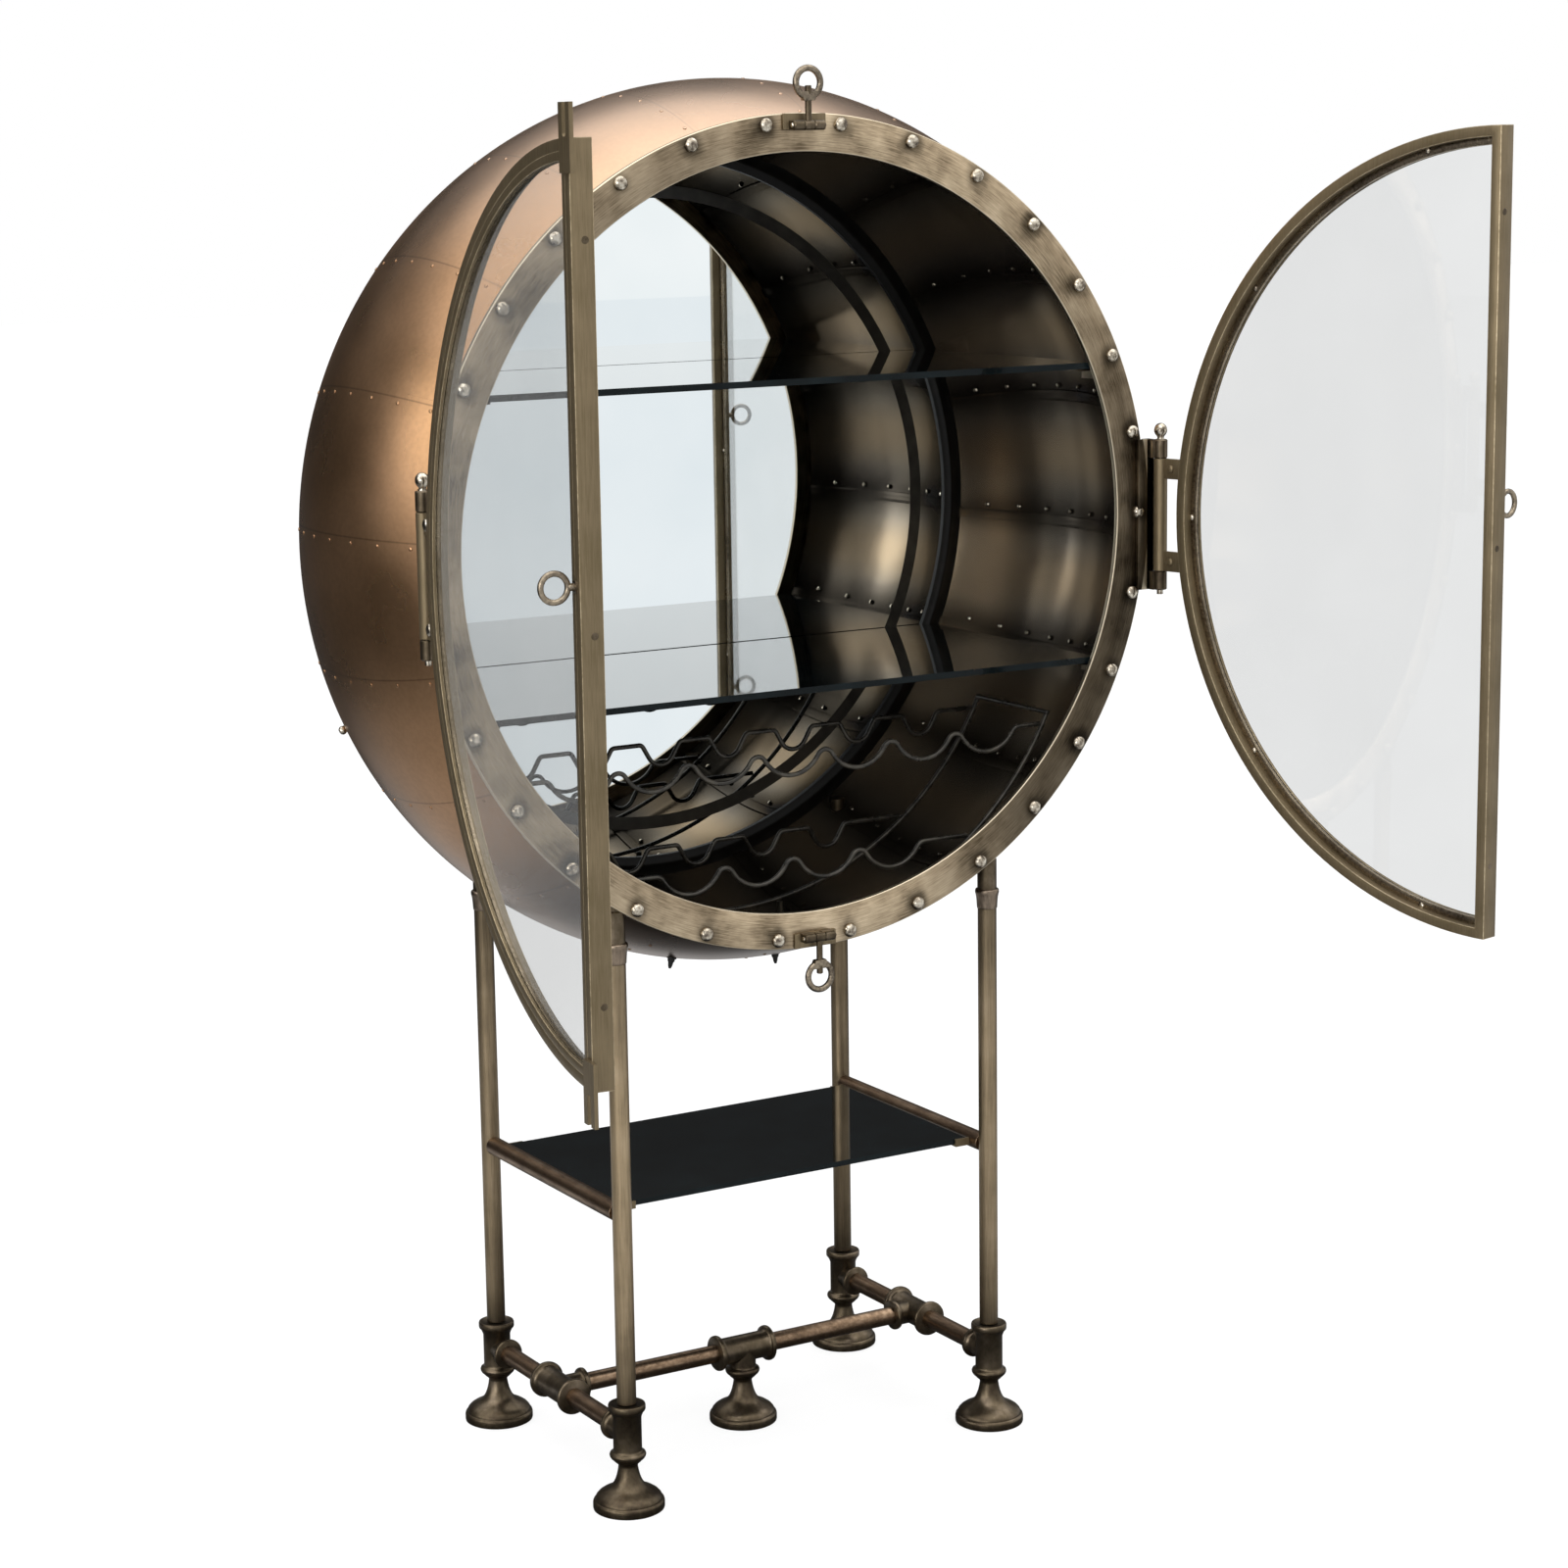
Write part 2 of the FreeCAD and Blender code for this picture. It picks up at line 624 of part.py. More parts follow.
# The swing bolt at the top of the ring, standing up; the bottom one is its mirror image
def make_dogs():
    pivot = vec(0, dog_pivot_y, axis_height + dog_pivot_r)
    half_barrel = dog_barrel_len / 2
    knuckle_x = half_barrel + dog_side_gap
    plate_x = dog_plate_length / 2
    plate_y = ring_face_y - dog_plate_thickness
    plate_z = pivot.z - dog_plate_below_pivot
    lugs = box(-plate_x, plate_x, plate_y, ring_face_y, plate_z, plate_z + dog_plate_height)
    for x in (knuckle_x, -knuckle_x - dog_knuckle_len):
        start = vec(x, pivot.y, pivot.z)
        lugs = lugs.fuse(bar(start, start.add(vec(dog_knuckle_len, 0, 0)), dog_knuckle_d))
        half = dog_knuckle_d / 2
        lugs = lugs.fuse(box(x, x + dog_knuckle_len, pivot.y, plate_y, pivot.z - half, pivot.z + half))
    reach = knuckle_x + dog_knuckle_len
    bore = dog_pin_d + 2 * pin_clearance
    lugs = lugs.cut(rod(vec(-reach, pivot.y, pivot.z), vec(reach, pivot.y, pivot.z), bore)).removeSplitter()
    pin_end = reach + dog_pin_head
    pin = rod(vec(-pin_end, pivot.y, pivot.z), vec(pin_end, pivot.y, pivot.z), dog_pin_d)

    barrel = bar(pivot.sub(vec(half_barrel, 0, 0)), pivot.add(vec(half_barrel, 0, 0)), dog_knuckle_d)
    nut_z = pivot.z + dog_nut_stop
    shank_top = nut_z + nut_boss_h + dog_thread_past_nut
    shank = rod(pivot, vec(0, pivot.y, shank_top), dog_shank_d)
    hole = rod(pivot.sub(vec(half_barrel, 0, 0)), pivot.add(vec(half_barrel, 0, 0)), bore)
    bolt = barrel.fuse(shank).cut(hole).removeSplitter()

    eye_r = (nut_eye_od - nut_eye_wire_d) / 2
    eye_z = nut_z + nut_eye_lift + nut_eye_od / 2
    eye = eye_ring(vec(0, pivot.y, eye_z), inward, eye_r, nut_eye_wire_d)
    boss = bar(vec(0, pivot.y, nut_z), vec(0, pivot.y, nut_z + nut_boss_h), nut_boss_d)
    thread = rod(vec(0, pivot.y, nut_z), vec(0, pivot.y, eye_z), dog_shank_d + 2 * pin_clearance)
    nut = eye.fuse(boss).cut(thread).removeSplitter()

    def pair(shape):
        return [shape, shape.mirror(vec(0, 0, axis_height), upright)]

    parts["dog_lugs"] = Part.makeCompound(pair(lugs))
    parts["dog_pins"] = Part.makeCompound(pair(pin))
    parts["top_dog_bolt"], parts["bottom_dog_bolt"] = pair(bolt)
    parts["top_eye_nut"], parts["bottom_eye_nut"] = pair(nut)


# A sleeve on the leg's end that flares to a rim
def socket_collar():
    rim_z = socket_collar_h - socket_rim_h
    outline = ((socket_foot_d / 2, 0), (socket_collar_d / 2, rim_z), (socket_collar_d / 2, socket_collar_h))
    return flat_turned(outline, pipe_sides)


# The stub on top of a leg's collar, as high as the drum wall above it and notched behind the front ring
def socket_stub(x, y, wall):
    start = vec(x, y, leg_top_z + socket_collar_h)
    stub = trimmed(bar(start, vec(x, y, wall_height(x, y) + socket_stub_d), socket_stub_d), wall)
    return stub.cut(drum_disc(ring_outer_r + seat_gap, ring_face_y, shell_front_y + seat_gap))


def foot():
    base_r = foot_base_d / 2
    neck_r = foot_neck_d / 2
    top_r = foot_top_d / 2
    bell_h = foot_height - foot_bead_h - foot_base_h
    outline = [(base_r, 0), (base_r, foot_base_h)]
    for width, height in foot_bell_steps:
        outline.append((neck_r + width * (base_r - neck_r), foot_base_h + height * bell_h))
    outline += [(top_r, foot_height - foot_bead_h), (top_r, foot_height)]
    return flat_turned(outline, foot_sides)


# A fitting is a run with a rim at each end and one branch with its own rim
def leg_tee(x, y):
    low = vec(x, y, foot_height)
    tee = bar(low, vec(x, y, tee_top_z), tee_body_d)
    for z in (foot_height, tee_top_z - tee_rim_h):
        tee = tee.fuse(bar(vec(x, y, z), vec(x, y, z + tee_rim_h), tee_rim_d))
    return add_branch(tee, vec(x, y, branch_z), vec(0, -math.copysign(1, y), 0))


def add_branch(tee, centre, along):
    end = centre.add(along * branch_reach)
    tee = tee.fuse(bar(centre, end, branch_d))
    return tee.fuse(bar(end.sub(along * branch_rim_w), end, branch_rim_d)).removeSplitter()


def run_tee(centre, along):
    tee = bar(centre.sub(along * run_half), centre.add(along * run_half), tee_body_d)
    for way in (-1, 1):
        end = centre.add(along * (way * run_half))
        tee = tee.fuse(bar(end.sub(along * (way * branch_rim_w)), end, tee_rim_d))
    return tee


def make_stand():
    feet = [foot()]
    legs = []
    sockets = []
    wall = barrel_wall(-trim_reach, seat_gap)
    for x in (-leg_x, leg_x):
        for y in (-leg_y, leg_y):
            top = vec(x, y, leg_top_z)
            legs.append(pipe(vec(x, y, tee_top_z), top, leg_d))
            collar = socket_collar()
            collar.translate(top)
            sockets.append(collar.fuse(socket_stub(x, y, wall)).removeSplitter())
            standing = foot()
            standing.translate(vec(x, y, 0))
            feet.append(standing)
    parts["legs"] = Part.makeCompound(legs)
    parts["leg_sockets"] = Part.makeCompound(sockets)
    parts["feet"] = Part.makeCompound(feet)


def make_stretchers():
    tubes = []
    tees = [leg_tee(x, y) for x in (-leg_x, leg_x) for y in (-leg_y, leg_y)]
    for x in (-leg_x, leg_x):
        toward = -math.copysign(1, x)
        middle = vec(x, 0, branch_z)
        tees.append(add_branch(run_tee(middle, inward), middle, vec(toward, 0, 0)))
        for y in (-leg_y, leg_y):
            way = math.copysign(1, y)
            tubes.append(pipe(vec(x, y - way * branch_reach, branch_z),
                              vec(x, way * run_half, branch_z), stretcher_d))
        tubes.append(pipe(vec(x + toward * branch_reach, 0, branch_z),
                          vec(-toward * run_half, 0, branch_z), stretcher_d))
    centre = run_tee(vec(0, 0, branch_z), across)
    centre = centre.fuse(bar(vec(0, 0, foot_height), vec(0, 0, branch_z), tee_body_d))
    centre = centre.fuse(bar(vec(0, 0, foot_height), vec(0, 0, foot_height + tee_rim_h), tee_rim_d))
    tees.append(centre.removeSplitter())
    parts["stretchers"] = Part.makeCompound(tubes)
    parts["pipe_tees"] = Part.makeCompound(tees)


def make_base_shelf():
    under = base_shelf_top - base_shelf_thickness
    parts["base_shelf"] = box(-base_shelf_half_width, base_shelf_half_width, -base_shelf_half_depth,
                              base_shelf_half_depth, under, base_shelf_top)
    rails = []
    tabs = []
    for x in (-leg_x, leg_x):
        rail = pipe(vec(x, -leg_y, rail_z), vec(x, leg_y, rail_z), rail_d)
        for y in (-leg_y, leg_y):
            leg = rod(vec(x, y, tee_top_z), vec(x, y, leg_top_z), leg_d + 2 * seat_gap)
            rail = rail.cut(leg)
        rails.extend(rail.Solids)
        tab_end = math.copysign(leg_x - rail_d / 2 - seat_gap, x)
        tab_tip = math.copysign(abs(tab_end) - base_tab_reach, x)
        for way in (-1, 1):
            lip = way * (base_shelf_half_depth + seat_gap)
            near = lip - way * base_tab_width
            past = lip + way * base_tab_sheet
            span = (min(tab_end, tab_tip), max(tab_end, tab_tip))
            low = under - base_tab_sheet
            tab = box(*span, min(near, past), max(near, past), low, under)
            upstand = box(*span, min(lip, past), max(lip, past), low, base_shelf_top)
            tabs.append(tab.fuse(upstand).removeSplitter())
    parts["shelf_rails"] = Part.makeCompound(rails)
    parts["base_shelf_tabs"] = Part.makeCompound(tabs)


leg_top_z = min(wall_height(leg_x, -leg_y), wall_height(leg_x, leg_y)) - leg_top_below_wall
lining = barrel_wall(-shell_sheet - seat_gap, 2 * trim_reach)
make_shell()
make_rings()
make_ring_bolts()
make_shelves(lining)
make_rack(lining)
make_doors()
make_hinges()
make_dogs()
make_stand()
make_stretchers()
make_base_shelf()

os.makedirs("parts", exist_ok=True)
for name, shape in parts.items():
    shape.exportStep("parts/" + name + ".step")
    print(name, len(shape.Solids), round(shape.Volume), shape.isValid())
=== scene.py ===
import bpy
import math
from mathutils import Matrix, Vector


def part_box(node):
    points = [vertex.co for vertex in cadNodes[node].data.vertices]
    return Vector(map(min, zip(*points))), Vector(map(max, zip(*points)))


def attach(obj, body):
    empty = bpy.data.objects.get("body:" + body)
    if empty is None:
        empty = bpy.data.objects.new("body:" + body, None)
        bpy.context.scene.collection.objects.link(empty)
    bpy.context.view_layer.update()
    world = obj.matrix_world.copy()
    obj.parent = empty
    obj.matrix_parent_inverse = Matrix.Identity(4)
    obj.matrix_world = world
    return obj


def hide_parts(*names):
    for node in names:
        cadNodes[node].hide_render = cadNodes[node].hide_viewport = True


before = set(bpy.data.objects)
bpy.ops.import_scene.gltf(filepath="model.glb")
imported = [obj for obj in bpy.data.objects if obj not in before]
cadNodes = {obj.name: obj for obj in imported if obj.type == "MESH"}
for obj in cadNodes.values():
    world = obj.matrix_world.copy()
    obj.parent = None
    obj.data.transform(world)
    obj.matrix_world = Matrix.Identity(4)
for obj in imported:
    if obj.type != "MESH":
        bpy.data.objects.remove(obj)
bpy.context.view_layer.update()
print("frame loaded:", len(cadNodes), "nodes")

mm = 0.001
axisZ = 1198                                     # height of the drum's axis; sizes of pieces are in mm
toDrum = Matrix.Translation((0, 0, axisZ * mm))
leftRight = Matrix.Diagonal((-1, 1, 1, 1))
topBottom = toDrum @ Matrix.Diagonal((1, 1, -1, 1)) @ toDrum.inverted()
toFront = (0, -1, 0)
toBack = (0, 1, 0)


# tools

def deselectAll():
    if bpy.context.mode != "OBJECT":
        bpy.ops.object.mode_set(mode="OBJECT")
    bpy.ops.object.select_all(action="DESELECT")


def makeActive(piece):
    deselectAll()
    piece.select_set(True)
    bpy.context.view_layer.objects.active = piece


def startEdit(piece):
    makeActive(piece)
    bpy.ops.object.mode_set(mode="EDIT")
    bpy.ops.mesh.select_mode(type="VERT")
    bpy.ops.mesh.select_all(action="SELECT")


def endEdit():
    bpy.ops.object.mode_set(mode="OBJECT")


def endFacingOut():                              # ends an edit with the normals recalculated
    bpy.ops.mesh.select_all(action="SELECT")
    bpy.ops.mesh.normals_make_consistent(inside=False)
    endEdit()


def pickVerts(piece, test):                      # call it in edit mode
    bpy.ops.mesh.select_all(action="DESELECT")
    bpy.ops.object.mode_set(mode="OBJECT")
    for vert in piece.data.vertices:
        vert.select = test(vert.co)
    bpy.ops.object.mode_set(mode="EDIT")


def flipFaces(piece):
    startEdit(piece)
    bpy.ops.mesh.flip_normals()
    endEdit()


def facesInward(piece):                          # towards the Y axis
    return sum(f.normal.dot(Vector((f.center.x, 0, f.center.z))) for f in piece.data.polygons) < 0


def giveMaterials(piece, *materials):
    for material in materials:
        piece.data.materials.append(material)


def applyModifier(piece, kind, **settings):
    makeActive(piece)
    modifier = piece.modifiers.new(kind.title(), kind)
    for key, value in settings.items():
        setattr(modifier, key, value)
    bpy.ops.object.modifier_apply(modifier=modifier.name)


def roundEdges(piece, width, slot=-1):           # a slot of 1 gives the rounded edges the second material
    applyModifier(piece, "BEVEL", width=width * mm, segments=2, limit_method="ANGLE",
                  angle_limit=math.radians(40), material=slot)


def drawLine(points):                            # edges through the points, left selected in edit mode
    deselectAll()
    bpy.ops.mesh.primitive_plane_add(size=2 * mm)
    piece = bpy.context.object
    startEdit(piece)
    bpy.ops.mesh.merge(type="CENTER")
    last = points[0]
    bpy.ops.transform.translate(value=tuple(c * mm for c in last))
    for point in points[1:]:
        step = tuple((b - a) * mm for a, b in zip(last, point))
        bpy.ops.mesh.extrude_region_move(TRANSFORM_OT_translate={"value": step})
        last = point
    bpy.ops.mesh.select_all(action="SELECT")
    return piece


def turnProfile(profile, steps):                 # (radius, height) points turned about Z
    piece = drawLine([(radius, 0, height) for radius, height in profile])
    bpy.ops.mesh.spin(steps=steps, angle=2 * math.pi, center=(0, 0, 0), axis=(0, 0, 1))
    bpy.ops.mesh.select_all(action="SELECT")
    bpy.ops.mesh.remove_doubles(threshold=1e-6)
    endFacingOut()
    return piece


def standing(at, toward=(0, 0, 1)):              # moves the origin to a spot and +Z to a direction
    aim = Vector((0, 0, 1)).rotation_difference(Vector(toward)).to_matrix().to_4x4()
    return Matrix.Translation(Vector(at) * mm) @ aim


def place(piece, at, toward=(0, 0, 1)):
    piece.data.transform(standing(at, toward))
    return piece


def tube(start, end, diameter, chamfer, steps):
    along = Vector(end) - Vector(start)
    radius = diameter / 2
    length = along.length
    profile = [(0, 0), (radius - chamfer, 0), (radius, chamfer), (radius, length - chamfer),
               (radius - chamfer, length), (0, length)]
    return place(turnProfile(profile, steps), start, along)


def block(low, high, rounded, slot=-1):          # a bevelled plate or bar between two corners
    deselectAll()
    bpy.ops.mesh.primitive_cube_add(size=1)
    piece = bpy.context.object
    size = [(b - a) * mm for a, b in zip(low, high)]
    centre = [(a + b) / 2 * mm for a, b in zip(low, high)]
    piece.data.transform(Matrix.Translation(centre) @ Matrix.Diagonal((*size, 1)))
    roundEdges(piece, rounded, slot)
    return piece


def copyPiece(piece, move):
    twin = piece.copy()
    twin.data = piece.data.copy()
    bpy.context.scene.collection.objects.link(twin)
    twin.data.transform(move)
    return twin


def join(pieces):
    deselectAll()
    for piece in pieces:
        piece.select_set(True)
    bpy.context.view_layer.objects.active = pieces[0]
    if len(pieces) > 1:
        bpy.ops.object.join()
    return pieces[0]


def repeat(piece, moves):                        # copies of a piece as one mesh, in place of the first
    made = join([copyPiece(piece, move) for move in moves])
    bpy.data.objects.remove(piece)
    return made


def flipped(piece, plane):                       # mirror image, with its faces turned out again
    twin = copyPiece(piece, plane)
    flipFaces(twin)
    return twin


def paired(piece, plane):
    return join([flipped(piece, plane), piece])


def finishPiece(piece, name, material, nodes=(), angle=38, body="cabinet"):
    makeActive(piece)
    bpy.ops.object.transform_apply(location=True, rotation=True, scale=True)
    bpy.ops.object.shade_smooth_by_angle(angle=math.radians(angle))
    piece.name = name
    piece.data.name = name
    if material is not None:
        piece.data.materials.clear()
        piece.data.materials.append(material)
    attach(piece, body)
    if nodes:
        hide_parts(*nodes)


# materials

multiply = {"data_type": "RGBA", "blend_type": "MULTIPLY", 0: 1.0}
smooth = {"interpolation_type": "SMOOTHSTEP"}


def hexColour(code):
    channels = [int(code[i:i + 2], 16) / 255 for i in (1, 3, 5)]
    linear = [c / 12.92 if c <= 0.04045 else ((c + 0.055) / 1.055) ** 2.4 for c in channels]
    return (*linear, 1)


def setNode(tree, node, settings=None, links=None):
    for key, value in (settings or {}).items():
        if isinstance(key, int) or key in node.inputs:
            node.inputs[key].default_value = value
        else:
            setattr(node, key, value)
    for key, source in (links or {}).items():
        if isinstance(source, bpy.types.Node):   # a node stands for its first output in use
            source = next(socket for socket in source.outputs if socket.enabled)
        tree.links.new(source, node.inputs[key])
    return node


def addNode(tree, kind, settings=None, links=None):
    return setNode(tree, tree.nodes.new("ShaderNode" + kind), settings, links)


def setRamp(node, stops):
    ramp = node.color_ramp
    while len(ramp.elements) < len(stops):
        ramp.elements.new(0.5)
    for element, (spot, code) in zip(ramp.elements, stops):
        element.position = spot
        element.color = hexColour(code)
    return node


def newMaterial(name):
    material = bpy.data.materials.new(name)
    material.use_nodes = True
    tree = material.node_tree
    return material, tree, tree.nodes["Principled BSDF"], addNode(tree, "TexCoord").outputs["Object"]


panels = {"count": 20, "seamStart": -3, "lap": 1.3, "sheet": 2.5, "raise": 1.3, "endR": 490, "bellyR": 556,
          "meanR": 540, "frontY": -194, "backY": 199, "acrossSteps": 16, "arcSteps": 160}
panelPitch = 360 / panels["count"]
ring = {"outer": 512, "inner": 466, "face": -200, "thick": 6, "corner": ((0, 1.2), (0.4, 0.4), (1.2, 0)),
        "boltCircle": 500, "bolts": 30}


def aboutAxis(tree, coords):                     # height over the drum's axis and the angle about it
    split = addNode(tree, "SeparateXYZ", links={0: coords})
    height = addNode(tree, "Math", {"operation": "SUBTRACT", 1: axisZ * mm}, {0: split.outputs["Z"]})
    turn = addNode(tree, "Math", {"operation": "ARCTAN2"}, {0: height, 1: split.outputs["X"]})
    return split, height, turn


def seamDistance(tree, turn):                    # in mm, from the angle about the drum's axis
    steps = addNode(tree, "Math", {"operation": "MULTIPLY_ADD", 1: 180 / math.pi / panelPitch,
                                   2: -panels["seamStart"] / panelPitch}, {0: turn})
    share = addNode(tree, "Math", {"operation": "PINGPONG", 1: 0.5}, {0: steps})
    return addNode(tree, "Math", {"operation": "MULTIPLY", 1: math.radians(panelPitch) * panels["meanR"]},
                   {0: share})


def copperPaintLook():
    # copper metal-flake paint sprayed on sheet steel: a broad satin sheen with soft mottling and fine grain
    material, tree, shader, coords = newMaterial("copper_flake_paint")
    split, height, turn = aboutAxis(tree, coords)
    cloud = addNode(tree, "TexNoise", {"Scale": 1 / (140 * mm), "Detail": 4}, {"Vector": coords})
    tone = setRamp(addNode(tree, "ValToRGB", links={0: cloud}), ((0.32, "#92704f"), (0.7, "#a98463")))
    flake = addNode(tree, "TexNoise", {"Scale": 1 / (6 * mm), "Detail": 1}, {"Vector": coords})
    grain = addNode(tree, "MapRange", {"From Min": 0.35, "From Max": 0.65, "To Min": 0.95, "To Max": 1.04},
                    {"Value": flake})
    mixed = addNode(tree, "Mix", multiply, {6: tone, 7: grain})
    line = addNode(tree, "MapRange", {"From Min": 0.3, "From Max": 1.6, "To Min": 0.62, "To Max": 1.0},
                   {"Value": seamDistance(tree, turn)})
    worn = addNode(tree, "Mix", multiply, {6: mixed, 7: line})
    # painted highlight: paler on top
    upper = addNode(tree, "MapRange",
                    {**smooth, "From Min": 1.5, "From Max": 1.74, "To Min": 0.0, "To Max": 0.5},
                    {"Value": split.outputs["Z"]})
    withTopHighlight = addNode(tree, "Mix", {"data_type": "RGBA", 7: hexColour("#c2ab98")}, {0: upper, 6: worn})
    # painted shade: dark under the front, behind the ring's lower edge
    forward = addNode(tree, "MapRange", {**smooth, "From Min": 0.02, "From Max": -0.17},
                      {"Value": split.outputs["Y"]})
    below = addNode(tree, "MapRange",
                    {**smooth, "From Min": 0.86, "From Max": 0.72, "To Min": 0.0, "To Max": 0.8},
                    {"Value": split.outputs["Z"]})
    underShadeMask = addNode(tree, "Math", {"operation": "MULTIPLY"}, {0: forward, 1: below})
    withUnderShade = addNode(tree, "Mix", {"data_type": "RGBA", 7: hexColour("#2a241f")}, {0: underShadeMask, 6: withTopHighlight})
    sheen = addNode(tree, "MapRange", {"From Min": 0.3, "From Max": 0.7, "To Min": 0.25, "To Max": 0.32},
                    {"Value": cloud})
    setNode(tree, shader, {"Metallic": 0.97, "Coat Weight": 0.16, "Coat Roughness": 0.3},
            {"Base Color": withUnderShade, "Roughness": sheen})
    return material


def liningBronzeLook():
    # lacquered dark bronze sheet inside the drum: glossy, slightly wavy, cloudy, black along the seams from
    # dirt and painted shade, with a painted sheen in the panels' middles
    material, tree, shader, coords = newMaterial("lacquered_dark_bronze")
    split, height, turn = aboutAxis(tree, coords)
    cloud = addNode(tree, "TexNoise", {"Scale": 1 / (120 * mm), "Detail": 2}, {"Vector": coords})
    tone = setRamp(addNode(tree, "ValToRGB", links={0: cloud}), ((0.35, "#605950"), (0.65, "#7b7163")))
    seam = seamDistance(tree, turn)
    smudge = addNode(tree, "TexNoise", {"Scale": 1 / (30 * mm), "Detail": 3}, {"Vector": coords})
    reach = addNode(tree, "Math", {"operation": "MULTIPLY_ADD", 1: 24.0, 2: 34.0}, {0: smudge})
    # darker towards the seams: dirt, with painted shade on the panels' edges
    dirtAndShade = addNode(tree, "Math", {"operation": "DIVIDE", "use_clamp": True}, {0: seam, 1: reach})
    shade = addNode(tree, "MapRange", {**smooth, "To Min": 0.28, "To Max": 1.0}, {"Value": dirtAndShade})
    # painted sheen: lighter, warmer middles of the panels
    paintedSheen = addNode(tree, "MapRange",
                     {**smooth, "From Min": 25, "From Max": 80, "To Min": 0.0, "To Max": 0.5},
                     {"Value": seam})
    warm = addNode(tree, "Mix", {"data_type": "RGBA", 7: hexColour("#a0896b")}, {0: paintedSheen, 6: tone})
    # painted highlight beside the flange, above the middle shelf
    deep = addNode(tree, "MapRange", {**smooth, "From Min": 0.08, "From Max": 0.17},
                   {"Value": split.outputs["Y"]})
    level = addNode(tree, "Math", {"operation": "SUBTRACT", 1: 1.02}, {0: split.outputs["Z"]})
    apart = addNode(tree, "Math", {"operation": "ABSOLUTE"}, {0: level})
    near = addNode(tree, "MapRange", {**smooth, "From Min": 0.24, "From Max": 0.1}, {"Value": apart})
    paintedLight = addNode(tree, "Math", {"operation": "MULTIPLY"}, {0: deep, 1: near})
    withFlangeHighlight = addNode(tree, "Mix", {"data_type": "RGBA", 7: hexColour("#e6cfae")}, {0: paintedLight, 6: warm})
    mixed = addNode(tree, "Mix", multiply, {6: withFlangeHighlight, 7: shade})
    # painted shade: darker towards the mouth, with a painted highlight band a little behind it
    lap = addNode(tree, "MapRange", {"From Min": panels["frontY"] * mm, "From Max": panels["backY"] * mm},
                  {"Value": split.outputs["Y"]})
    depth = setRamp(addNode(tree, "ValToRGB", links={0: lap}),
                    ((0.1, "#8d8d8d"), (0.27, "#ffffff"), (0.42, "#e7e7e7"), (0.62, "#d5d5d5")))
    shadedToMouth = addNode(tree, "Mix", multiply, {6: mixed, 7: depth})
    gloss = addNode(tree, "MapRange", {"From Min": 0.3, "From Max": 0.7, "To Min": 0.17, "To Max": 0.23},
                    {"Value": cloud})
    wave = addNode(tree, "TexNoise", {"Scale": 1 / (70 * mm), "Detail": 1}, {"Vector": coords})
    bump = addNode(tree, "Bump", {"Strength": 0.2, "Distance": 5 * mm}, {"Height": wave})
    # the lacquer dulls the grazing sheen
    setNode(tree, shader, {"Metallic": 0.78, "Specular Tint": hexColour("#6e6a66")},
            {"Base Color": shadedToMouth, "Roughness": gloss, "Normal": bump})
    return material


def ringPatinaAndPaintedLight(tree, colour, turn, radius, patch):
    # dark patina with painted contact shadow round every bolt, painted highlights by angle round the ring,
    # and bright edges of wear with painted highlight
    boltR = ring["boltCircle"] * mm
    steps = addNode(tree, "Math", {"operation": "MULTIPLY", 1: ring["bolts"] / (2 * math.pi)}, {0: turn})
    share = addNode(tree, "Math", {"operation": "PINGPONG", 1: 0.5}, {0: steps})
    aside = addNode(tree, "Math", {"operation": "MULTIPLY", 1: boltR * 2 * math.pi / ring["bolts"]},
                    {0: share})
    off = addNode(tree, "Math", {"operation": "SUBTRACT", 1: boltR}, {0: radius})
    spot = addNode(tree, "CombineXYZ", links={0: aside, 1: off})
    gap = addNode(tree, "VectorMath", {"operation": "LENGTH"}, {0: spot})
    wobble = addNode(tree, "Math", {"operation": "MULTIPLY_ADD", 1: 0.03, 2: -0.012}, {0: patch})
    reach = addNode(tree, "Math", {"operation": "ADD"}, {0: gap, 1: wobble})
    # patina with painted contact shadow round each bolt
    patinaAndShadow = addNode(tree, "MapRange", {**smooth, "From Min": 0.008, "From Max": 0.026,
                                       "To Min": 0.3, "To Max": 1.0}, {"Value": reach})
    withPatinaAndShadow = addNode(tree, "Mix", multiply, {6: colour, 7: patinaAndShadow})
    # painted highlight and shade by angle round the ring, as light falls on the brushing
    lap = addNode(tree, "MapRange", {"From Min": -math.pi, "From Max": math.pi}, {"Value": turn})
    paintedSheen = setRamp(addNode(tree, "ValToRGB", links={0: lap}), (
        (0, "#bcbcbc"), (0.12, "#c0c0c0"), (0.22, "#ececec"), (0.29, "#ececec"), (0.36, "#7e7e7e"),
        (0.45, "#6c6c6c"), (0.52, "#8c8c8c"), (0.6, "#dcdcdc"), (0.7, "#ffffff"), (0.8, "#b8b8b8"),
        (0.88, "#bcbcbc"), (1, "#bcbcbc")))
    withSheen = addNode(tree, "Mix", multiply, {6: withPatinaAndShadow, 7: paintedSheen})
    # edge wear with painted highlight: light lines along both edges
    middle = addNode(tree, "Math", {"operation": "SUBTRACT", 1: (ring["inner"] + ring["outer"]) / 2 * mm},
                     {0: radius})
    across = addNode(tree, "Math", {"operation": "ABSOLUTE"}, {0: middle})
    edgeWearAndLight = addNode(tree, "MapRange",
                     {"From Min": 0.0212, "From Max": 0.0224, "To Min": 0.0, "To Max": 0.75},
                     {"Value": across})
    return addNode(tree, "Mix", {"data_type": "RGBA", 7: hexColour("#d8cbb2")}, {0: edgeWearAndLight, 6: withSheen})


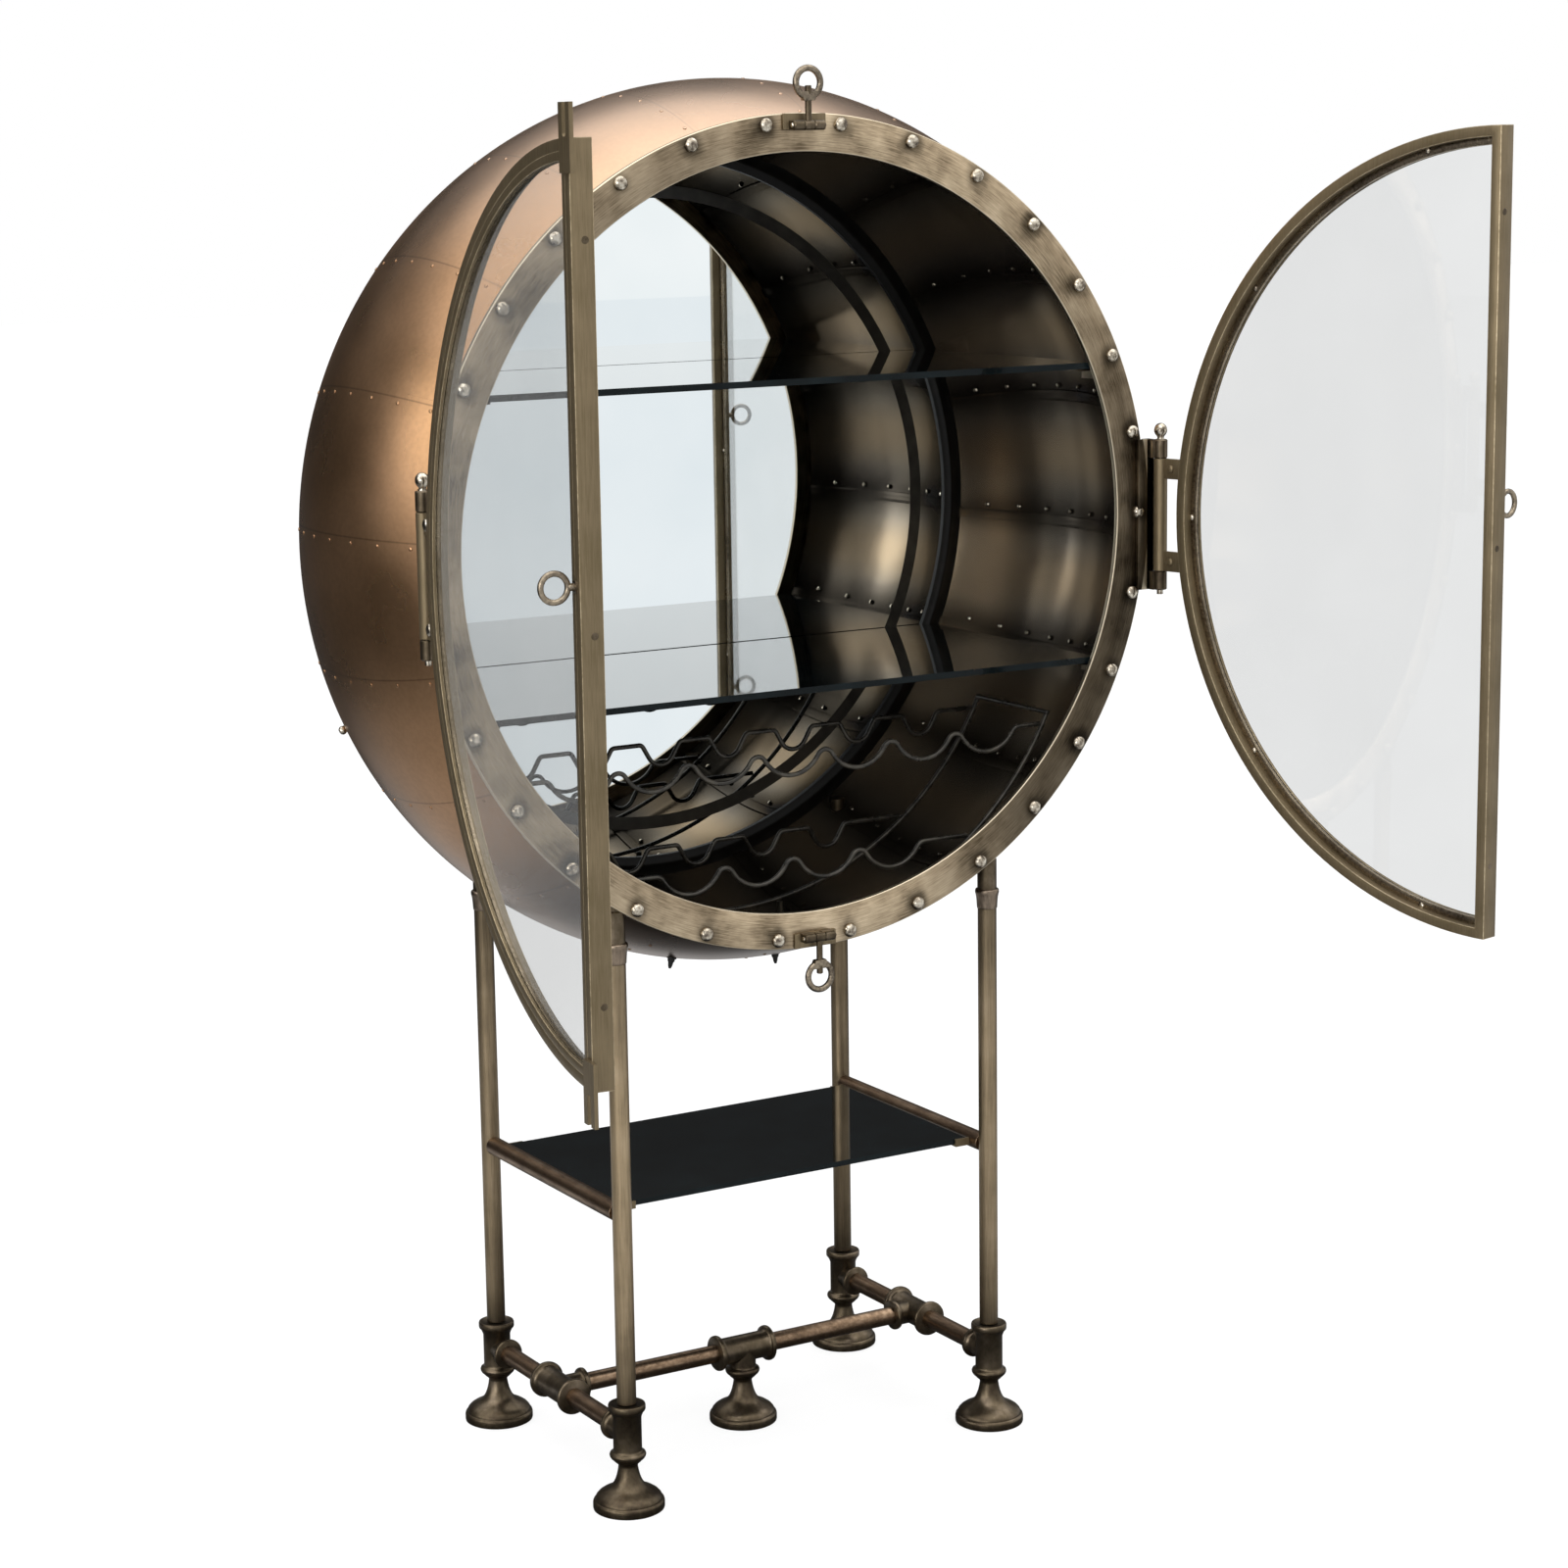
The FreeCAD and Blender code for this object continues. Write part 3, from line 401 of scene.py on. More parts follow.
def agedBrassLook(name, streak, light, mid, dark, gloss=(0.28, 0.42), metal=1.0, onRing=False, brushed=0.55,
                  cloud=55):
    # brushed antique brass: hand-rubbed highlights over dark patina, scratches along the streak direction
    material, tree, shader, coords = newMaterial(name)
    pattern = coords
    if onRing:                                   # streaks follow the ring: its angle, radius and depth
        split, height, turn = aboutAxis(tree, coords)
        flat = addNode(tree, "CombineXYZ", links={0: split.outputs["X"], 1: height})
        radius = addNode(tree, "VectorMath", {"operation": "LENGTH"}, {0: flat})
        pattern = addNode(tree, "CombineXYZ", links={0: turn, 1: radius, 2: split.outputs["Y"]})
    stretched = addNode(tree, "Mapping", {"Scale": streak}, {"Vector": pattern})
    brush = addNode(tree, "TexNoise", {"Scale": 1.0, "Detail": 6, "Roughness": 0.62}, {"Vector": stretched})
    patch = addNode(tree, "TexNoise", {"Scale": 1 / (cloud * mm), "Detail": 4}, {"Vector": coords})
    share = addNode(tree, "Math", {"operation": "MULTIPLY", 1: 1 - brushed}, {0: patch})
    both = addNode(tree, "Math", {"operation": "MULTIPLY_ADD", 1: brushed}, {0: brush, 2: share})
    colour = setRamp(addNode(tree, "ValToRGB", links={0: both}), ((0.36, dark), (0.5, mid), (0.64, light)))
    if onRing:
        colour = ringPatinaAndPaintedLight(tree, colour, turn, radius, patch)
    polish = addNode(tree, "MapRange",
                     {"From Min": 0.35, "From Max": 0.65, "To Min": gloss[1], "To Max": gloss[0]},
                     {"Value": both})
    bump = addNode(tree, "Bump", {"Strength": 0.15, "Distance": 0.4 * mm}, {"Height": brush})
    setNode(tree, shader, {"Metallic": metal}, {"Base Color": colour, "Roughness": polish, "Normal": bump})
    return material


def paintedLegLight(material):                      # painted light on the legs: lighter to the front and left, painted shade at both ends
    tree = material.node_tree
    shader = tree.nodes["Principled BSDF"]
    colour = shader.inputs["Base Color"].links[0].from_socket
    coords = addNode(tree, "TexCoord").outputs["Object"]
    away = addNode(tree, "VectorMath", {"operation": "DOT_PRODUCT", 1: (-0.45, -0.8, 0)}, {0: coords})
    worn = addNode(tree, "Math", {"operation": "ADD", 1: 0.84}, {0: away})
    split = addNode(tree, "SeparateXYZ", links={0: coords})
    lap = addNode(tree, "MapRange", {"From Min": 0.137, "From Max": 0.7}, {"Value": split.outputs["Z"]})
    paintedLight = setRamp(addNode(tree, "ValToRGB", links={0: lap}), (
        (0, "#a8a8a8"), (0.08, "#e6e6e6"), (0.25, "#ffffff"), (0.7, "#ffffff"), (0.9, "#dadada"),
        (1, "#c4c4c4")))
    for source in (worn, paintedLight):
        colour = addNode(tree, "Mix", multiply, {6: colour, 7: source})
    setNode(tree, shader, links={"Base Color": colour})


def pewterLook():
    # tumbled pewter: bright rounded tops, grey pitting and a warm stain in the hollows
    material, tree, shader, coords = newMaterial("tumbled_pewter")
    pits = addNode(tree, "TexNoise", {"Scale": 1 / (6 * mm), "Detail": 4}, {"Vector": coords})
    tone = setRamp(addNode(tree, "ValToRGB", links={0: pits}),
                   ((0.34, "#5a5147"), (0.5, "#a59b8b"), (0.66, "#d0c8b9")))
    polish = addNode(tree, "MapRange", {"From Min": 0.3, "From Max": 0.7, "To Min": 0.28, "To Max": 0.15},
                     {"Value": pits})
    bump = addNode(tree, "Bump", {"Strength": 0.2, "Distance": 0.5 * mm}, {"Height": pits})
    setNode(tree, shader, {"Metallic": 1.0}, {"Base Color": tone, "Roughness": polish, "Normal": bump})
    return material


def blackMetalLook(name, base, glow, rough):
    # black enamel on steel: nearly black with a faint cloudy wear
    material, tree, shader, coords = newMaterial(name)
    wear = addNode(tree, "TexNoise", {"Scale": 1 / (20 * mm), "Detail": 4}, {"Vector": coords})
    tone = setRamp(addNode(tree, "ValToRGB", links={0: wear}), ((0.4, base), (0.75, glow)))
    haze = addNode(tree, "MapRange", {"To Min": rough - 0.06, "To Max": rough + 0.1}, {"Value": wear})
    setNode(tree, shader, {"Metallic": 0.5}, {"Base Color": tone, "Roughness": haze})
    return material


def blackGlassLook():
    # black float glass: polished, deep, with a trace of dust in the gloss
    material, tree, shader, coords = newMaterial("black_float_glass")
    dust = addNode(tree, "TexNoise", {"Scale": 1 / (50 * mm), "Detail": 5}, {"Vector": coords})
    gloss = addNode(tree, "MapRange", {"From Min": 0.4, "From Max": 0.8, "To Min": 0.015, "To Max": 0.06},
                    {"Value": dust})
    tone = setRamp(addNode(tree, "ValToRGB", links={0: dust}), ((0.4, "#070b0c"), (0.8, "#0d1416")))
    # the coat is the second surface of the pane; the edges are ground
    facing = addNode(tree, "NewGeometry").outputs["Normal"]
    upward = addNode(tree, "SeparateXYZ", links={0: facing})
    level = addNode(tree, "Math", {"operation": "ABSOLUTE"}, {0: upward.outputs["Z"]})
    flat = addNode(tree, "Math", {"operation": "GREATER_THAN", 1: 0.5}, {0: level})
    edge = addNode(tree, "Math", {"operation": "MULTIPLY_ADD", 1: 0.4, 2: 0.1}, {0: flat})
    setNode(tree, shader, {"IOR": 1.52, "Coat Roughness": 0.02},
            {"Base Color": tone, "Roughness": gloss, "Coat Weight": flat, "Specular IOR Level": edge})
    return material


def clearGlassLook():
    # clear float glass pane: a faint grey body and a light film
    material, tree, shader, coords = newMaterial("clear_float_glass")
    film = addNode(tree, "TexNoise", {"Scale": 1 / (160 * mm), "Detail": 3}, {"Vector": coords})
    tone = setRamp(addNode(tree, "ValToRGB", links={0: film}), ((0.3, "#e8e9e9"), (0.7, "#ebecec")))
    setNode(tree, shader, {"Transmission Weight": 1.0, "Roughness": 0.0, "IOR": 1.45}, {"Base Color": tone})
    path = addNode(tree, "LightPath")
    clear = addNode(tree, "BsdfTransparent", {"Color": hexColour("#eeeeee")})
    soft = addNode(tree, "MixShader", links={0: path.outputs["Is Shadow Ray"], 1: shader, 2: clear})
    setNode(tree, tree.nodes["Material Output"], links={"Surface": soft})
    return material


def mirrorLook():
    # silvered glass: cool, clean, with the slightest haze
    material, tree, shader, coords = newMaterial("silvered_glass")
    haze = addNode(tree, "TexNoise", {"Scale": 1 / (200 * mm), "Detail": 3}, {"Vector": coords})
    tone = setRamp(addNode(tree, "ValToRGB", links={0: haze}), ((0.3, "#e6edef"), (0.7, "#eef3f4")))
    setNode(tree, shader, {"Metallic": 1.0, "Roughness": 0.01}, {"Base Color": tone})
    return material


copperPaint = copperPaintLook()
liningBronze = liningBronzeLook()
ringBrass = agedBrassLook("brushed_ring_brass", (18, 700, 90), "#e2cdad", "#bca88b", "#756651", onRing=True,
                          brushed=0.45, cloud=60)
doorBrass = agedBrassLook("rubbed_door_brass", (520, 520, 26), "#75674f", "#6c5f49", "#62563f",
                          (0.38, 0.48), 0.8)
# lighter brass for rounded edges: edge wear with a painted highlight
edgeWearAndHighlight = agedBrassLook("edge_wear_and_highlight_brass", (200, 200, 200), "#b3a487", "#95866c", "#75684f",
                           (0.3, 0.42), 0.7)
pipeBrass = agedBrassLook("rubbed_pipe_brass", (480, 480, 18), "#9f8d73", "#8e7d63", "#766853",
                          (0.3, 0.4), 0.92)
paintedLegLight(pipeBrass)
pipeAcross = agedBrassLook("rubbed_stretcher_brass", (160, 40, 260), "#96806a", "#7a6551", "#58483a")
sleeveBrass = agedBrassLook("rubbed_sleeve_brass", (300, 300, 60), "#8c7d6c", "#74675a", "#544a40",
                            (0.28, 0.4))
eyeBrass = agedBrassLook("tarnished_eye_brass", (260, 260, 260), "#9d907c", "#7d7263", "#4e463c",
                         (0.24, 0.36))
castBronze = agedBrassLook("bronzed_casting", (60, 60, 40), "#6d6152", "#524839", "#382f26",
                           (0.3, 0.42), 0.95)
pewter = pewterLook()
blackWire = blackMetalLook("black_wire_enamel", "#24221e", "#454139", 0.26)
blackSteel = blackMetalLook("black_satin_steel", "#0d0d0c", "#1a1917", 0.44)
smokedBand = blackMetalLook("smoked_band", "#2b2a27", "#3a3833", 0.3)
blackGlass = blackGlassLook()
clearGlass = clearGlassLook()
silvered = mirrorLook()
print("materials ready")

# CAD nodes that are shown as they are
shownAsBuilt = ((blackGlass, ("upper_shelf", "middle_shelf", "base_shelf")),
                (clearGlass, ("left_door_glass", "right_door_glass")),
                (silvered, ("mirror",)),
                (blackSteel, ("back_panel",)),
                (doorBrass, ("base_shelf_tabs", "left_door_keepers")),
                (castBronze, ("upper_shelf_brackets", "middle_shelf_brackets")))
for material, names in shownAsBuilt:
    for name in names:
        cadNodes[name].data.materials.clear()
        cadNodes[name].data.materials.append(material)


# drum wall: one panel is spun from its arc, its upper edge is lifted, then it is copied round
seams = [panels["seamStart"] + i * panelPitch for i in range(panels["count"])]
wallHalf = (panels["backY"] - panels["frontY"]) / 2
wallMiddle = (panels["frontY"] + panels["backY"]) / 2
wallBulge = panels["bellyR"] - panels["endR"]
wallArc = (wallHalf ** 2 + wallBulge ** 2) / (2 * wallBulge)


def onWall(y, offset=0):                         # radius of the wall at depth y
    return panels["bellyR"] - wallArc + math.sqrt((wallArc + offset) ** 2 - (y - wallMiddle) ** 2)


def aroundDrum(deg):
    return toDrum @ Matrix.Rotation(math.radians(deg), 4, Vector((0, -1, 0)))


def buildPanel():
    arcX = (panels["bellyR"] - wallArc) * mm
    deselectAll()
    bpy.ops.mesh.primitive_circle_add(vertices=panels["arcSteps"], radius=wallArc * mm, fill_type="NOTHING",
                                      location=(arcX, wallMiddle * mm, 0))
    panel = bpy.context.object
    bpy.ops.object.transform_apply(location=True)
    startEdit(panel)
    for spot, way in ((panels["frontY"], -1), (panels["backY"], 1)):
        bpy.ops.mesh.select_all(action="SELECT")
        bpy.ops.mesh.bisect(plane_co=(0, spot * mm, 0), plane_no=(0, way, 0), clear_outer=True)
    pickVerts(panel, lambda co: co.x < arcX)
    bpy.ops.mesh.delete(type="VERT")
    bpy.ops.mesh.select_all(action="SELECT")
    bpy.ops.mesh.spin(steps=panels["acrossSteps"], angle=math.radians(panelPitch + panels["lap"]),
                      center=(0, 0, 0), axis=(0, -1, 0))
    # the first row of the panel lies on its neighbour
    lift = 1 + panels["raise"] / panels["bellyR"]
    edge = math.radians(panels["lap"] * 1.2)
    pickVerts(panel, lambda co: math.atan2(co.z, co.x) < edge)
    bpy.ops.transform.resize(value=(lift, 1, lift), center_override=(0, 0, 0))
    endFacingOut()
    if facesInward(panel):
        flipFaces(panel)
    giveMaterials(panel, copperPaint, liningBronze)
    applyModifier(panel, "SOLIDIFY", thickness=panels["sheet"] / 2 * mm, offset=-1, material_offset=1,
                  material_offset_rim=0)
    return panel


drumWall = repeat(buildPanel(), [aroundDrum(seam) for seam in seams])
finishPiece(drumWall, "drum_wall", None,
            ("shell_panels_right", "shell_panels_top", "shell_panels_left", "shell_panels_bottom"), 50)

rivets = {"pitch": 46, "perSeam": 8, "below": 7, "headR": 2.5, "headH": 0.9, "innerR": 3.6, "innerH": 2.0}
straps = {"width": 15, "thick": 1.0, "steps": 3, "rows": 24, "rounded": 0.3}


def buildRivets(headR, headH, offset, way):      # way is 1 outside the drum and -1 inside
    head = turnProfile([(headR, -0.6), (headR * 0.86, headH * 0.5), (headR * 0.5, headH * 0.9), (0, headH)],
                       10)
    first = wallMiddle - rivets["pitch"] * (rivets["perSeam"] - 1) / 2
    shift = math.degrees(rivets["below"] / panels["bellyR"])
    moves = []
    for seam in seams:
        for j in range(rivets["perSeam"]):
            y = first + j * rivets["pitch"]
            slope = (onWall(y + 1, offset) - onWall(y - 1, offset)) / 2
            spot = standing((onWall(y, offset), y, 0), (way, -slope * way, 0))
            moves.append(aroundDrum(seam + shift) @ spot)
    return repeat(head, moves)


def buildStrap():                                # narrow, on the inside, where the rivets are clenched
    outer = -panels["sheet"] / 2
    depths = [panels["frontY"] + 2 * wallHalf * i / straps["rows"] for i in range(straps["rows"] + 1)]
    strap = drawLine([(onWall(y, outer), y, 0) for y in depths])
    bpy.ops.mesh.spin(steps=straps["steps"], angle=straps["width"] / panels["bellyR"], center=(0, 0, 0),
                      axis=(0, -1, 0))
    endFacingOut()
    applyModifier(strap, "SOLIDIFY", thickness=straps["thick"] * mm, offset=1 if facesInward(strap) else -1)
    roundEdges(strap, straps["rounded"])
    return strap


outerRivets = buildRivets(rivets["headR"], rivets["headH"], panels["raise"], 1)
finishPiece(outerRivets, "outer_rivets", copperPaint)
innerRivets = buildRivets(rivets["innerR"], rivets["innerH"], -panels["sheet"] / 2 - straps["thick"], -1)
finishPiece(innerRivets, "inner_rivets", pewter)
seamStraps = repeat(buildStrap(), [aroundDrum(seam) for seam in seams])
finishPiece(seamStraps, "seam_straps", liningBronze)
print("drum wall done")


# front ring with its dome bolts, the dark flange with a rolled bead, and the band on the mirror
dome = {"profile": [(9.0, 0), (9.0, 1.3), (8.5, 3.1), (7.2, 4.9), (5.2, 6.2), (2.7, 6.9), (0, 7.0)]}
flange = {"profile": [(463, 203), (463, 199.6), (464.5, 199), (470, 199), (472, 197.4), (476, 197.4),
                      (478, 199), (492, 199), (492, 203), (463, 203)]}
band = {"profile": [(409, 202.9), (409.3, 202.5), (425.7, 202.5), (426, 202.9), (409, 202.9)]}
face = ring["face"]
back = face + ring["thick"]


def drumTurned(profile, steps=160):              # (radius, depth y) points turned about the drum's axis
    return place(turnProfile([(r, -y) for r, y in profile], steps), (0, 0, axisZ), toFront)


ringProfile = [(ring["inner"], back)]
ringProfile += [(ring["inner"] + r, face + y) for r, y in ring["corner"]]
ringProfile += [(ring["outer"] - r, face + y) for r, y in reversed(ring["corner"])]
ringProfile += [(ring["outer"], back), (ring["inner"], back)]
finishPiece(drumTurned(ringProfile, 200), "front_ring_plate", ringBrass, ("front_ring",), 50)
boltSpot = standing((ring["boltCircle"], face, 0), toFront)
domes = repeat(turnProfile(dome["profile"], 28),
               [aroundDrum(360 * i / ring["bolts"]) @ boltSpot for i in range(ring["bolts"])])
finishPiece(domes, "dome_bolts", pewter, ("ring_bolts",), 60)
finishPiece(drumTurned(flange["profile"]), "back_flange", blackSteel, ("back_ring",), 50)
finishPiece(drumTurned(band["profile"]), "mirror_band", smokedBand, (), 50)
print("ring done")


# bottle rack
wire = {"d": 6, "pitch": 98.4, "wave": 28, "peakR": 12, "frontY": -151, "backY": 9, "upperZ": -273,
        "upperCount": 7, "lowerZ": -408, "lowerCount": 4, "hoopHalf": 388, "hoopEnd": -262, "hoopLow": -503,
        "neckFlat": 43, "neckSlope": 60, "neckR": 7, "seat": 0.3, "postX": 75, "postD": 8}
hoopSpan = wire["hoopHalf"] ** 2 + wire["hoopEnd"] ** 2 - wire["hoopLow"] ** 2
hoopCentre = hoopSpan / (2 * (wire["hoopEnd"] - wire["hoopLow"]))
hoopRadius = hoopCentre - wire["hoopLow"]
hoopSide = math.degrees(math.atan2(wire["hoopEnd"] - hoopCentre, wire["hoopHalf"]))


def wireReach(z):                                # where a cradle at height z meets the hoop
    return math.sqrt((hoopRadius - wire["d"] / 2) ** 2 - (z - wire["d"] / 2 - hoopCentre) ** 2)


def arcPoints(centre, radius, start, end, count):
    angles = [math.radians(start + (end - start) * i / count) for i in range(count + 1)]
    return [(centre[0] + radius * math.cos(a), centre[1] + radius * math.sin(a)) for a in angles]


def wavePoints(top, bottles):                    # round cradles for the bottles' bodies
    half = wire["pitch"] / 2
    turn = math.degrees(2 * math.atan(wire["wave"] / half))
    trough = half / math.sin(math.radians(turn)) - wire["peakR"]
    points = [(-wireReach(top), top)]
    for i in range(bottles):
        left = (i - bottles / 2) * wire["pitch"]
        points += arcPoints((left, top - wire["peakR"]), wire["peakR"], 90, 90 - turn, 6)
        points += arcPoints((left + half, top - wire["wave"] + trough), trough, 270 - turn, 270 + turn, 14)
        points += arcPoints((left + wire["pitch"], top - wire["peakR"]), wire["peakR"], 90 + turn, 90, 6)
    return points + [(wireReach(top), top)]


def neckPoints(top, bottles):                    # flat-topped cradles for the bottles' necks
    turn = wire["neckSlope"]
    slope = math.radians(turn)
    reach = wire["pitch"] / 2 - wire["neckFlat"] / 2
    rise = math.tan(slope / 2)
    run = (wire["wave"] - reach * rise) / (math.sin(slope) - math.cos(slope) * rise)
    trough = (reach - run * math.cos(slope)) / math.sin(slope)
    side = reach + wire["neckR"] * rise
    points = [(-wireReach(top), top)]
    for i in range(bottles):
        middle = (i - (bottles - 1) / 2) * wire["pitch"]
        points += arcPoints((middle - side, top - wire["neckR"]), wire["neckR"], 90, 90 - turn, 5)
        points += arcPoints((middle, top - wire["wave"] + trough), trough, 270 - turn, 270 + turn, 10)
        points += arcPoints((middle + side, top - wire["neckR"]), wire["neckR"], 90 + turn, 90, 5)
    return points + [(wireReach(top), top)]


def bentWire(points, y):                         # a curve with a round bevel, made a mesh
    line = bpy.data.curves.new("wire", "CURVE")
    line.dimensions = "3D"
    line.bevel_depth = wire["d"] / 2 * mm
    line.bevel_resolution = 4
    line.use_fill_caps = True
    kept = [points[0]]
    for point in points[1:]:
        if math.dist(point, kept[-1]) > 0.05:    # arcs that meet share a point
            kept.append(point)
    run = line.splines.new("POLY")
    run.points.add(len(kept) - 1)
    for spot, (x, z) in zip(run.points, kept):
        spot.co = (x * mm, y * mm, (axisZ + z) * mm, 1)
    piece = bpy.data.objects.new("wire", line)
    bpy.context.scene.collection.objects.link(piece)
    makeActive(piece)
    bpy.ops.object.convert(target="MESH")
    return bpy.context.object


for end, y, cradle in (("front", wire["frontY"], wavePoints), ("back", wire["backY"], neckPoints)):
    hoop = bentWire(arcPoints((0, hoopCentre), hoopRadius, 180 - hoopSide, 360 + hoopSide, 72), y)
    finishPiece(hoop, end + "_hoop", blackWire, ("rack_" + end + "_hoop",), 60)
    for level in ("upper", "lower"):
        piece = bentWire(cradle(wire[level + "Z"], wire[level + "Count"]), y)
        name = "_".join((end, level, "cradle"))
        finishPiece(piece, name, blackWire, ("rack_{}_{}_wire".format(end, level),), 60)
lift = wire["d"] / 2 + wire["seat"]
tieX = wire["hoopHalf"] - lift * (wire["hoopEnd"] - hoopCentre) / hoopRadius
tieZ = axisZ + wire["hoopEnd"] + lift * wire["hoopHalf"] / hoopRadius
tie = tube((0, wire["frontY"] - wire["d"] / 2, tieZ), (0, wire["backY"] + wire["d"] / 2, tieZ), wire["d"],
           1.0, 20)
ties = repeat(tie, [standing((x, 0, 0)) for x in (-tieX, tieX)])
finishPiece(ties, "tie_rods", blackWire, ("rack_tie_rods",))
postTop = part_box("rack_standoffs")[1].z / mm
posts = []
for x in (-wire["postX"], wire["postX"]):
    for y in (wire["frontY"], wire["backY"]):
        foot = axisZ - math.sqrt(onWall(y, -panels["sheet"]) ** 2 - x ** 2)
        posts.append(tube((x, y, foot), (x, y, postTop), wire["postD"], 0.8, 24))
finishPiece(join(posts), "standoffs", blackWire, ("rack_standoffs",))
print("rack done")


# doors are modelled shut and then swung open
door = {"r": 485, "front": -227, "back": -202, "meet": 1, "rim": 22, "rebate": 9, "lip": 4, "glass": 4,
        "bead": 4, "pinY": -212, "pinHeights": (385, -10, -395),
        "pin": [(4.0, 0), (3.7, 0.4), (1.3, 0.45), (1.1, 0.1), (0, 0.1)],
        "clipAngles": (38, -0.5, -39, -77.5, 76), "clipHeights": (371, -17, -396), "clipIn": 1.5,
        "stileClip": 6}
hinge = {"x": 523, "y": -216, "z": 1194, "barrel": 18, "length": 146, "knuckle": 24, "gap": 0.5,
         "plateOut": 8, "plateIn": 17, "plateSide": 4, "lugDeep": 8, "arm": 26, "armThick": 6, "boltIn": 19}
swing = {"left": -96.5, "right": 103}
screw = {"profile": [(3.6, 0), (3.6, 0.5), (3.0, 1.3), (1.7, 1.8), (0, 1.9)], "onRim": 1.2, "onStile": 0.9,
         "armFront": 2.2, "armBack": 1.5}        # sizes against the profile
handle = {"od": 35.9, "bar": 6.5, "shank": 8, "stand": 5, "height": 40, "fromMeet": 12.5,
          "collar": [(0, 0), (6.5, 0), (6.5, 1.2), (5.2, 2.0), (0, 2.0)]}
doorSeat = door["rim"] - door["rebate"]
glassY = door["front"] + door["lip"]
beadY = glassY + door["glass"]
clipY = beadY + door["bead"]
hingeAxis = (hinge["x"], hinge["y"])
hingeLow = hinge["z"] - hinge["length"] / 2
hingeHigh = hingeLow + hinge["length"]


def swungOpen(piece, side):
    way = -1 if side == "left" else 1
    pivot = standing((way * hinge["x"], hinge["y"], 0))
    piece.data.transform(pivot @ Matrix.Rotation(math.radians(swing[side]), 4, "Z") @ pivot.inverted())


def halfRing(outerIn, innerIn, y0, y1, rounded, look):   # a D-shaped frame between two insets
    deselectAll()
    bpy.ops.mesh.primitive_circle_add(vertices=192, radius=door["r"] * mm, fill_type="NGON",
                                      rotation=(math.radians(90), 0, 0), location=(0, y1 * mm, axisZ * mm))
    piece = bpy.context.object
    bpy.ops.object.transform_apply(location=True, rotation=True)
    startEdit(piece)
    bpy.ops.mesh.bisect(plane_co=(door["meet"] * mm, 0, 0), plane_no=(-1, 0, 0), clear_outer=True)
    bpy.ops.mesh.select_mode(type="FACE")
    bpy.ops.mesh.select_all(action="SELECT")
    if outerIn:
        bpy.ops.mesh.inset(thickness=outerIn * mm, depth=0)
        bpy.ops.mesh.select_all(action="INVERT")
        bpy.ops.mesh.delete(type="FACE")
        bpy.ops.mesh.select_all(action="SELECT")
    bpy.ops.mesh.inset(thickness=(innerIn - outerIn) * mm, depth=0)
    bpy.ops.mesh.delete(type="FACE")
    bpy.ops.mesh.select_all(action="SELECT")
    bpy.ops.mesh.extrude_region_move(TRANSFORM_OT_translate={"value": (0, (y0 - y1) * mm, 0)})
    endFacingOut()
    # the rounded edges get the worn brass with its painted highlight
    giveMaterials(piece, look, edgeWearAndHighlight)
    roundEdges(piece, rounded, 1)
    return piece


def screwHeads(scale, spots, toward):
    head = turnProfile([(r * scale, h * scale) for r, h in screw["profile"]], 18)
    return repeat(head, [standing(spot, toward) for spot in spots])


def eyeRing(centre, axis, outer, bar):
    deselectAll()
    bpy.ops.mesh.primitive_torus_add(major_segments=48, minor_segments=16,
                                     major_radius=(outer - bar) / 2 * mm, minor_radius=bar / 2 * mm)
    return place(bpy.context.object, centre, axis)


def buildFrame():
    # rim and lip start a hair behind the front; the lip runs into the rim and the bead stands clear of it
    rim = halfRing(0, doorSeat, door["front"] + 0.01, door["back"], 0.8, doorBrass)
    lip = halfRing(doorSeat - 0.5, door["rim"], door["front"] + 0.02, glassY, 0.6, doorBrass)
    return [rim, lip], halfRing(doorSeat + 0.4, door["rim"], beadY, clipY, 1.2, eyeBrass)


def buildPins():                                 # screws through the stile's edge
    spots = [(door["meet"], door["pinY"], axisZ + tall) for tall in door["pinHeights"]]
    return repeat(turnProfile(door["pin"], 18), [standing(spot, (-1, 0, 0)) for spot in spots])


def buildClips():                                # small glazing screws in the bead
    radius = door["r"] - doorSeat - door["clipIn"]
    angles = [math.radians(deg) for deg in door["clipAngles"]]
    onRim = [(radius * math.cos(a), clipY, axisZ + radius * math.sin(a)) for a in angles]
    onStile = [(doorSeat + door["stileClip"], clipY, axisZ + tall) for tall in door["clipHeights"]]
    return [screwHeads(screw["onRim"], onRim, toBack), screwHeads(screw["onStile"], onStile, toBack)]


def buildHingeStrap():                           # the moving barrel with two arms to the rim
    front = hinge["y"] - hinge["armThick"] / 2
    behind = hinge["y"] + hinge["armThick"] / 2
    boltX = hinge["x"] - hinge["boltIn"]
    strap = [tube((*hingeAxis, hingeLow), (*hingeAxis, hingeHigh), hinge["barrel"], 1.0, 40)]
    middles = []
    for z in (hingeLow, hingeHigh - hinge["arm"]):   # the arms reach 1 mm into the rim
        middle = z + hinge["arm"] / 2
        inner = math.sqrt(door["r"] ** 2 - (abs(middle - axisZ) + hinge["arm"] / 2) ** 2) - 1
        strap.append(block((inner, front, z), (hinge["x"], behind, z + hinge["arm"]), 1.0))
        middles.append(middle)
    strap.append(screwHeads(screw["armBack"], [(boltX, behind, z) for z in middles], toBack))
    return strap, screwHeads(screw["armFront"], [(boltX, front, z) for z in middles], toFront)


